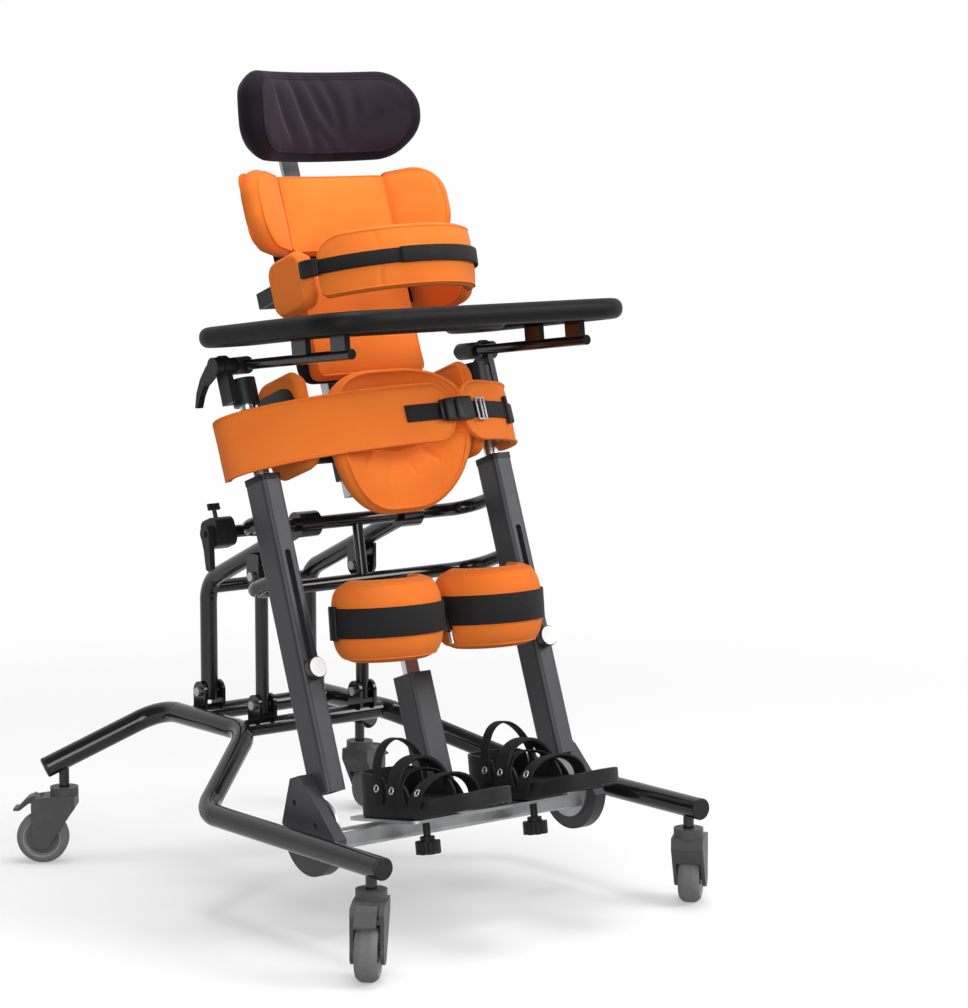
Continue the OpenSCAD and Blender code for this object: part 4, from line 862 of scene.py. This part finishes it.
def sacralBend(spot):
    # bowed round the seat, with the top edge leaning forward
    bowed = arcBend(sacralSet["bow"])(spot)
    top = sacralSet["size"][1] / 2
    share = max(0.0, (spot.z / mm - sacralSet["leanFrom"]) / (top - sacralSet["leanFrom"]))
    bowed.y -= sacralSet["lean"] * mm * share ** 1.5
    return bowed


sacralPad = finishPad("sacralPad", columnFrame @ at(*sacralSet["at"]), sacralBend)
settlePad(sacralPad, "upper_frame", "sacral_pad")


def cupFrame(sign):
    return columnFrame @ at(sign * cupSet["half"], cupSet["y"], cupSet["z"], cupSet["pitch"], "X")


def cupBend(spot):
    # wrapped round the knee, with the upper and lower edges drawn in
    drawn = cupSet["barrel"] * mm * abs(2 * spot.z / mm / cupSet["size"][1]) ** 4
    return arcBend(-cupSet["radius"])(Vector((spot.x, spot.y + drawn, spot.z)))


for side, sign in sides.items():
    cup = finishPad("kneeCup" + side, cupFrame(sign) @ at(0, -cupSet["radius"], 0), cupBend)
    settlePad(cup, "knee_cup_" + side.lower(), "knee_cup_" + side.lower())

for name, band in beltBands.items():
    belt = finishPad(name, beltFrame, beltBend(band["span"]))
    settlePad(belt, "upper_frame", "hip_belt")
print("pads placed")

# Webbing: flat bands swept along their runs
webSet = {
    "thick": 2.2, "belt": 24, "beltOut": 7.6, "beltSpan": (92, -8), "chest": 20, "chestGap": 1.4,
    "chestSpan": (196, 349), "lap": 22, "lapSpan": (250, 340), "cup": 40, "cupGap": 15, "cupSpan": (167, 373),
}


def webBand(name, points, facings, width, place):
    bm = bmesh.new()
    sweep(bm, roundSection(width, webSet["thick"], 0.45 * webSet["thick"], 2), placesAlong(points, facings))
    bmesh.ops.transform(bm, matrix=place, verts=bm.verts[:])
    return pieceFrom(bm, name, blackWeb)


def arcBand(name, radius, span, width, place):
    # a band along an arc about Z, from one angle of its span to the other
    turns = [math.radians(turn) for turn in spanSteps(span, 40)]
    outward = [Vector((math.cos(turn), math.sin(turn), 0)) for turn in turns]
    return webBand(name, [out * radius * mm for out in outward], outward, width, place)


beltTurns = spanSteps(webSet["beltSpan"], 48)
beltSpots, beltFacings = zip(*(beltPoint(turn, webSet["beltOut"]) for turn in beltTurns))
beltWeb = webBand("beltWebbing", beltSpots, beltFacings, webSet["belt"], beltFrame)
settle(beltWeb, "upper_frame", "webbing", "belt_strap")

chestReach = chestSet["radius"] + webSet["chestGap"]
chestWeb = arcBand("chestWebbing", chestReach, webSet["chestSpan"], webSet["chest"], chestPlace)
settle(chestWeb, "backrest", "webbing", "chest_strap")
chestLap = arcBand("chestLap", chestReach + webSet["thick"], webSet["lapSpan"], webSet["lap"], chestPlace)
settle(chestLap, "backrest", "webbing", "chest_strap")
for side, sign in sides.items():
    cupReach = cupSet["radius"] + webSet["cupGap"]
    cupWeb = arcBand("kneeBand" + side, cupReach, webSet["cupSpan"], webSet["cup"], cupFrame(sign))
    settle(cupWeb, "knee_cup_" + side.lower(), "webbing")
print("webbing placed")

# Moulded buckles and slides on the webbing
buckleSet = {
    "gap": 1, "turn": 71, "size": (56, 33, 12), "slideTurn": 57, "slide": (17, 30), "slideWire": 3.4,
    "keeperTurn": 34, "keeper": (9, 40, 5), "chestTurn": 71, "chestOut": 3, "chestBuckle": (24, 8, 24),
    "tab": (17, 5, 46), "tabTurn": 96, "tabOut": 17,
}


def block(bm, size, edge, place, segments):
    # a block with its edges rounded
    made = bmesh.ops.create_cube(bm, size=1.0)["verts"]
    bmesh.ops.scale(bm, vec=Vector(size) * mm, verts=made)
    edges = list({side for vert in made for side in vert.link_edges})
    grown = bmesh.ops.bevel(
        bm, geom=edges, offset=edge * mm, affect="EDGES", segments=segments, profile=0.5, material=-1)
    made = list(set(grown["verts"]) | {vert for vert in made if vert.is_valid})
    bmesh.ops.transform(bm, matrix=place, verts=made)


def blockPiece(name, finish, body, slot, place, blocks):
    # a piece of blocks, each with its size, middle, edge radius and edge steps
    bm = bmesh.new()
    for size, spot, edge, segments in blocks:
        block(bm, size, edge, place @ at(*spot), segments)
    settle(pieceFrom(bm, name, finish), body, slot)


def onBelt(turn):
    # on the webbing: X along the belt, Y up it, Z out of it
    spot, normal = beltPoint(turn, webSet["beltOut"] + buckleSet["gap"])
    along = Vector((-normal.y, normal.x, 0))
    facing = Matrix((along, Vector((0, 0, 1)), normal)).transposed().to_4x4()
    return beltFrame @ Matrix.Translation(spot) @ facing


length, height, thick = buckleSet["size"]
buckleBlocks = [
    ((0.56 * length, height, thick), (0.2 * length, 0, thick / 2), 2.6, 3),
    ((0.3 * length, 0.94 * height, 0.8 * thick), (-0.26 * length, 0, 0.4 * thick), 2, 3),
    ((0.1 * length, 0.5 * height, 0.5), (0.16 * length, 0, thick + 0.1), 0.2, 2),
]
for end in (-1, 1):
    prongAt = (-0.08 * length, end * 0.42 * height, 0.45 * thick)
    buckleBlocks.append(((0.34 * length, 4.5, 0.6 * thick), prongAt, 1.6, 2))
    buckleBlocks.append(((0.12 * length, 0.9 * height, 3), (end * 0.47 * length, 0, 3.2), 1.2, 2))
buckleAt = onBelt(buckleSet["turn"])
blockPiece("beltBuckle", blackPlastic, "upper_frame", "black_plastic", buckleAt, buckleBlocks)

keeperBlocks = [(buckleSet["keeper"], (0, 0, 0.6), 1.2, 2)]
blockPiece("beltKeeper", blackWeb, "upper_frame", "webbing", onBelt(buckleSet["keeperTurn"]), keeperBlocks)

length, height = buckleSet["slide"]
wire = buckleSet["slideWire"]
slideBlocks = [((3.2, height, wire), (along * length / 2, 0, 2.4), 1.2, 2) for along in (-1, 1)]
slideBlocks += [((length + 3, 3, wire), (0, up * height / 2, 2.4), 1.2, 2) for up in (-1, 1)]
slideBlocks.append(((3.2, height, wire), (0, 0, 3.6), 1.2, 2))
blockPiece("beltSlide", satinSteel, "upper_frame", "steel", onBelt(buckleSet["slideTurn"]), slideBlocks)

chestSpot = at(0, 0, 0, -buckleSet["chestTurn"]) @ at(0, -chestSet["radius"] - buckleSet["chestOut"], 0)
chestBlocks = [(buckleSet["chestBuckle"], (0, -2.5, 0), 2, 3)]
chestBlocks += [((4, 7, 1.12 * webSet["chest"]), (13 * along, -1.5, 0), 1.2, 2) for along in (-1, 1)]
blockPiece("chestBuckle", blackPlastic, "backrest", "black_plastic", chestPlace @ chestSpot, chestBlocks)

tabAt = cupFrame(sides["Left"]) @ at(0, 0, 0, -buckleSet["tabTurn"])
tabBlocks = [(buckleSet["tab"], (0, -cupSet["radius"] - buckleSet["tabOut"], 0), 1.6, 3)]
blockPiece("kneeTab", blackPlastic, "knee_cup_left", "black_plastic", tabAt, tabBlocks)
print("buckles placed")

# Tray edge: one soft round bead along the tray's outline
rimSet = {
    "width": 515, "depth": 345, "back": 32, "cutWidth": 314, "cutDepth": 158, "cornerRadius": 60,
    "cornerSteps": 10, "bead": (26, 28), "beadRound": 12.5, "rise": 40,
}


def trayRun():
    edge = rimSet["bead"][0] / 2
    half, front = rimSet["width"] / 2 - edge, rimSet["back"] - rimSet["depth"] + edge
    back, cut = rimSet["back"] - edge, rimSet["cutWidth"] / 2 + edge
    notch = rimSet["back"] - rimSet["cutDepth"] - edge
    corners = [
        (cut, back, 0), (half, back, 0), (half, front, 0), (-half, front, 0),
        (-half, back, 0), (-cut, back, 0), (-cut, notch, 0), (cut, notch, 0),
    ]
    return roundedLoop(corners, rimSet["cornerRadius"], rimSet["cornerSteps"])


bm = bmesh.new()
beadRing = roundSection(*rimSet["bead"], rimSet["beadRound"], 5)
beadRun = trayRun()
sweep(bm, beadRing, placesAlong(beadRun, [Vector((0, 0, 1))] * len(beadRun), True), True)
bmesh.ops.transform(bm, matrix=trayFrame @ at(0, 0, rimSet["rise"]), verts=bm.verts[:])
trayBead = pieceFrom(bm, "trayBead", rimBlack)
settlePad(trayBead, "tray", "tray_rim", "tray_rim")
print("tray edge placed")

# Sandals: a thick sole ribbed under the toes, a notched heel wall and three straps with steel rings
sandalSet = {
    "half": 92, "soleZ": -40.7, "tiltAt": (0, 13, -45), "tilt": 12, "heelAt": 13, "heelRadius": 41,
    "waistAt": -47, "waistHalf": 39, "toeAt": -167, "toeRadius": 49, "soleThick": 24, "soleRound": 2.4,
    "toeLift": 20, "liftFrom": -30, "bedInset": 6, "bedDrop": 3, "plateFront": -92, "hollow": 11,
    "hollowWall": 4, "toeThin": 3, "ribThick": 2.4, "ribPitch": 17, "ribTurn": 52, "ribShortest": 8,
    "wallThick": 3.6, "wallHeel": 40, "wallFront": 24, "wallFrom": -78, "wallLevels": 5,
    "notches": (-8, -30, -58), "notchDepth": 0.5,
    "straps": (
        {"y": -18, "lean": 16, "half": 44, "foot": 20, "height": 82, "width": 17, "thick": 2.6},
        {"y": -52, "lean": 6, "half": 45, "foot": 18, "height": 60, "width": 27, "thick": 6.0},
        {"y": -104, "lean": -6, "half": 50, "foot": 14, "height": 40, "width": 24, "thick": 4.0},
        {"y": -76, "lean": 26, "half": 49, "foot": 16, "height": 47, "width": 15, "thick": 2.4},
    ),
    "arch": 0.85, "ring": (4.2, 1.2), "ringHeight": 21,
}


def soleHalf(y, inset):
    # half the sole's width at a place along it
    heelAt, waistAt, toeAt = sandalSet["heelAt"], sandalSet["waistAt"], sandalSet["toeAt"]
    if y > waistAt:
        near, far, share = sandalSet["waistHalf"], sandalSet["heelRadius"], (y - waistAt) / (heelAt - waistAt)
    else:
        near, far, share = sandalSet["waistHalf"], sandalSet["toeRadius"], (waistAt - y) / (waistAt - toeAt)
    return near + (far - near) * (0.5 - 0.5 * math.cos(math.pi * share)) - inset


def soleOutline(inset=0.0, step=3.0):
    # round the toes, up the left side, round the heel and down the right side
    heelAt, toeAt = sandalSet["heelAt"], sandalSet["toeAt"]
    toe, heel = sandalSet["toeRadius"] - inset, sandalSet["heelRadius"] - inset
    count = round((heelAt - toeAt) / step)
    sideY = [toeAt + (heelAt - toeAt) * index / count for index in range(1, count)]
    toeTurns = [math.radians(-180 * index / 36) for index in range(37)]
    heelTurns = [math.radians(180 - 180 * index / 30) for index in range(31)]
    spots = [(toe * math.cos(turn), toeAt + toe * math.sin(turn)) for turn in toeTurns]
    spots += [(-soleHalf(y, inset), y) for y in sideY]
    spots += [(heel * math.cos(turn), heelAt + heel * math.sin(turn)) for turn in heelTurns]
    spots += [(soleHalf(y, inset), y) for y in reversed(sideY)]
    return [Vector((x, y, 0)) * mm for x, y in spots]


def insideSole(x, y, inset):
    if y < sandalSet["toeAt"]:
        return math.hypot(x, y - sandalSet["toeAt"]) < sandalSet["toeRadius"] - inset
    return abs(x) < soleHalf(y, inset)


def makeSole(bm):
    plateFront = sandalSet["plateFront"] * mm
    ring = [bm.verts.new(spot) for spot in soleOutline()]
    sole = bmesh.ops.contextual_create(bm, geom=ring)["faces"]
    grown = bmesh.ops.extrude_face_region(bm, geom=sole)["geom"]
    upper = [item for item in grown if isinstance(item, bmesh.types.BMVert)]
    bmesh.ops.translate(bm, vec=(0, 0, sandalSet["soleThick"] * mm), verts=upper)
    everything = bm.verts[:] + bm.edges[:] + bm.faces[:]
    bmesh.ops.bisect_plane(bm, geom=everything, plane_co=(0, plateFront, 0), plane_no=(0, 1, 0))
    bmesh.ops.recalc_face_normals(bm, faces=bm.faces[:])
    rims = [edge for edge in bm.edges if edge.calc_face_angle(0.0) > 1.2]
    rimRound = sandalSet["soleRound"] * mm
    bmesh.ops.bevel(bm, geom=rims, offset=rimRound, affect="EDGES", segments=3, profile=0.5, material=-1)

    def sink(faces, wall, depth):
        bmesh.ops.inset_region(bm, faces=faces, thickness=wall * mm, depth=-depth * mm, use_even_offset=True)

    sink([face for face in bm.faces if face.normal.z > 0.99], sandalSet["bedInset"], sandalSet["bedDrop"])
    under = [face for face in bm.faces if face.normal.z < -0.99]
    toes = [face for face in under if face.calc_center_median().y < plateFront]
    sink(toes, sandalSet["hollowWall"], sandalSet["hollow"])


def makeRibs(bm):
    # crossing ribs in the hollow under the toes
    lift = sandalSet["hollow"] / 2 + 0.8
    tip = sandalSet["toeAt"] - sandalSet["toeRadius"]
    rows = round((sandalSet["plateFront"] - tip) / sandalSet["ribPitch"]) + 4
    for row in range(-2, rows):
        startY = sandalSet["plateFront"] - sandalSet["ribPitch"] * row
        for turn in (-sandalSet["ribTurn"], sandalSet["ribTurn"], 0):
            run = Vector((math.cos(math.radians(turn)), math.sin(math.radians(turn))))
            inside = [
                reach for reach in range(-110, 111)
                if startY + run.y * reach < sandalSet["plateFront"] - 6
                and insideSole(run.x * reach, startY + run.y * reach, 3)
            ]
            if len(inside) < sandalSet["ribShortest"]:
                continue
            centre = run * (inside[0] + inside[-1]) / 2
            size = (inside[-1] - inside[0], sandalSet["ribThick"], sandalSet["hollow"] - 1)
            block(bm, size, 0.5, at(centre.x, startY + centre.y, lift, turn), 1)


def wallHeight(y):
    # rises to the heel, dips at the notches and runs out at the front
    fromFront = y - sandalSet["wallFrom"]
    share = max(0.0, min(1.0, fromFront / (sandalSet["heelAt"] - sandalSet["wallFrom"])))
    top = sandalSet["wallFront"] + (sandalSet["wallHeel"] - sandalSet["wallFront"]) * share
    dips = sum(math.exp(-((y - notch) / 5.0) ** 4) for notch in sandalSet["notches"])
    return top * (1 - sandalSet["notchDepth"] * min(dips, 1.0) - 0.6 * math.exp(-(fromFront / 7.0) ** 2))


def makeWall(bm):
    chain = [spot for spot in soleOutline(0.6) if spot.y > sandalSet["wallFrom"] * mm]
    foot = (sandalSet["soleThick"] - 4) * mm
    verts = [bm.verts.new((spot.x, spot.y, foot)) for spot in chain]
    edges = [bm.edges.new(pair) for pair in zip(verts, verts[1:])]
    faces = []
    for level in range(1, sandalSet["wallLevels"] + 1):
        fresh, edges, grown = extruded(bm, edges)
        faces += grown
        for vert in fresh:
            vert.co.z = foot + wallHeight(vert.co.y / mm) * mm * level / sandalSet["wallLevels"]
    bmesh.ops.recalc_face_normals(bm, faces=faces)
    bmesh.ops.solidify(bm, geom=faces, thickness=sandalSet["wallThick"] * mm)


def ringLink(bm, major, minor, place):
    hoop = bmesh.ops.create_circle(bm, segments=10, radius=minor * mm)["verts"]
    bmesh.ops.transform(bm, matrix=at(major, 0, 0, 90, "X"), verts=hoop)
    edges = list({edge for vert in hoop for edge in vert.link_edges})
    known = set(bm.verts) - set(hoop)
    bmesh.ops.spin(
        bm, geom=hoop + edges, cent=(0, 0, 0), axis=(0, 0, 1), angle=math.tau, steps=20, use_merge=True)
    bmesh.ops.transform(bm, matrix=place, verts=[vert for vert in bm.verts if vert not in known])


def makeStrap(bm, strap):
    turns = [math.radians(180 * step / 36) for step in range(37)]
    points = [
        Vector((
            strap["half"] * math.cos(turn), strap["y"] + strap["lean"] * math.sin(turn),
            strap["foot"] + strap["height"] * math.sin(turn) ** sandalSet["arch"],
        )) * mm
        for turn in turns
    ]
    outward = [Vector((math.cos(turn), 0, math.sin(turn))) for turn in turns]
    ring = roundSection(strap["width"], strap["thick"], 0.45 * strap["thick"], 3)
    sweep(bm, ring, placesAlong(points, outward))


def curlToes(bm):
    # the whole sandal curls up towards its toes, and the sole thins there
    front, tip = sandalSet["plateFront"], sandalSet["toeAt"] - sandalSet["toeRadius"]
    for vert in bm.verts:
        y, z = vert.co.y / mm, vert.co.z / mm
        thin = max(0.0, (front - y) / (front - tip)) ** 1.5 * max(0.0, 1 - z / sandalSet["soleThick"])
        lift = max(0.0, (sandalSet["liftFrom"] - y) / (sandalSet["liftFrom"] - tip)) ** 2
        vert.co.z += (sandalSet["toeThin"] * thin + sandalSet["toeLift"] * lift) * mm


for side, sign in sides.items():
    pivot = Vector(sandalSet["tiltAt"])
    sandalAt = Vector((sign * sandalSet["half"], 0, sandalSet["soleZ"])) - pivot
    sandalFrame = columnFrame @ at(*pivot, sandalSet["tilt"], "X") @ at(*sandalAt)
    body = "sandal_" + side.lower()
    sole, straps, rings = bmesh.new(), bmesh.new(), bmesh.new()
    makeSole(sole)
    makeRibs(sole)
    makeWall(sole)
    for strap in sandalSet["straps"]:
        makeStrap(straps, strap)
    for strap in sandalSet["straps"][:3]:
        turn = math.asin((sandalSet["ringHeight"] / strap["height"]) ** (1 / sandalSet["arch"]))
        out = strap["half"] + strap["thick"] / 2 + sandalSet["ring"][1] / 2
        along = strap["y"] + strap["lean"] * math.sin(turn)
        up = strap["foot"] + sandalSet["ringHeight"]
        for edge in (-1, 1):
            place = at(edge * out * math.cos(turn), along, up, edge * (90 - math.degrees(turn)), "Y")
            ringLink(rings, *sandalSet["ring"], place)
    for bm in (sole, straps, rings):
        curlToes(bm)
        bmesh.ops.transform(bm, matrix=sandalFrame, verts=bm.verts[:])
    settle(pieceFrom(sole, "sandalSole" + side, sandalBlack, False), body, "sandal_black", body)
    settle(pieceFrom(straps, "sandalStraps" + side, blackWeb), body, "webbing", body)
    settle(pieceFrom(rings, "sandalRings" + side, brightSteel), body, "steel", body)
print("sandals placed")

# Camera at the photograph's angle
view = {"at": (-2.5618, -3.4961, 1.1016), "forward": (0.6162, 0.7772, -0.1279), "lens": 116.47, "sensor": 36}
cameraData = bpy.data.cameras.new("camera")
cameraData.sensor_fit = "HORIZONTAL"
cameraData.sensor_width = view["sensor"]
cameraData.lens = view["lens"]
cameraData.clip_end = 60
camera = bpy.data.objects.new("camera", cameraData)
camera.location = view["at"]
camera.rotation_euler = Vector(view["forward"]).to_track_quat("-Z", "Y").to_euler()
bpy.context.scene.collection.objects.link(camera)
bpy.context.scene.camera = camera

# Pale floor, soft lamps and a white surround
lamps = {
    "key": {"at": (2.2, -2.5, 2.4), "size": 1.8, "power": 80},
    "fill": {"at": (-2.2, -2.8, 1.5), "size": 2.0, "power": 66},
    "top": {"at": (0.1, -0.2, 3.6), "size": 1.8, "power": 78},
}
for name, lamp in lamps.items():
    data = bpy.data.lights.new(name, "AREA")
    data.energy = lamp["power"]
    data.size = lamp["size"]
    made = bpy.data.objects.new(name, data)
    made.location = lamp["at"]
    made.rotation_euler = (Vector((0, 0, 0.5)) - Vector(lamp["at"])).to_track_quat("-Z", "Y").to_euler()
    bpy.context.scene.collection.objects.link(made)

surround = {
    "ambient": 0.36, "darkSide": 0.22, "floorSize": 60, "fadeFrom": 0.8, "fadeTo": 2.4, "wash": 0.35,
    "bounce": 0.3,
}
world = bpy.data.worlds.new("surround")
world.use_nodes = True
world.node_tree.nodes.clear()
sky = Wire(world.node_tree)
rays = ("Is Camera Ray", "Is Glossy Ray", "Is Transmission Ray")
seen = [sky.node("LightPath", {}, {}, ray) for ray in rays]
shown = sky.calc("MINIMUM", seen[0] + seen[1] + seen[2], 1.0)
# white behind the object, dim on the camera's side
looking = sky.node("TexCoord", {}, {}, "Generated")
behind = sky.node("VectorMath", {"operation": "DOT_PRODUCT"}, {0: looking, 1: view["forward"]}, "Value")
backdrop = surround["darkSide"] + (1 - surround["darkSide"]) * behind.ease(-0.25, 0.45)
strength = surround["ambient"] * (1 - shown) + backdrop * shown
light = sky.node("Background", {}, {"Color": rgb(1, 1, 1), "Strength": strength})
sky.node("OutputWorld", {}, {"Surface": light})
bpy.context.scene.world = world


def floorFinish(name):
    # a pale floor that takes the object's shadow and runs out to white
    def build(body, weave):
        return {
            "Base Color": body.noise(3, 4).blend(rgb(0.86, 0.86, 0.86), rgb(0.89, 0.89, 0.89)),
            "Roughness": 0.75 + 0.1 * body.noise(5, 2),
        }

    def washOut(skin):
        reach = skin.node("TexCoord", {}, {}, "Object").length()
        far = reach.ease(surround["fadeFrom"], surround["fadeTo"])
        fade = surround["wash"] + (1 - surround["wash"]) * far
        glow = skin.node("Emission", {}, {"Color": rgb(1, 1, 1), "Strength": 1.0})
        washed = skin.node("MixShader", {}, {0: fade, 1: skin, 2: glow})
        thrown = skin.node("LightPath", {}, {}, "Is Diffuse Ray")
        dim = skin.node("Emission", {}, {"Color": rgb(1, 1, 1), "Strength": surround["bounce"]})
        return skin.node("MixShader", {}, {0: thrown, 1: washed, 2: dim})

    return finishOf(name, build, washOut, Specular_IOR_Level=0.1)


bm = bmesh.new()
bmesh.ops.create_grid(bm, x_segments=2, y_segments=2, size=surround["floorSize"] / 2)
floor = pieceFrom(bm, "floor", floorFinish("floorPale"))
bpy.context.scene.view_settings.view_transform = "Standard"
print("stage set")
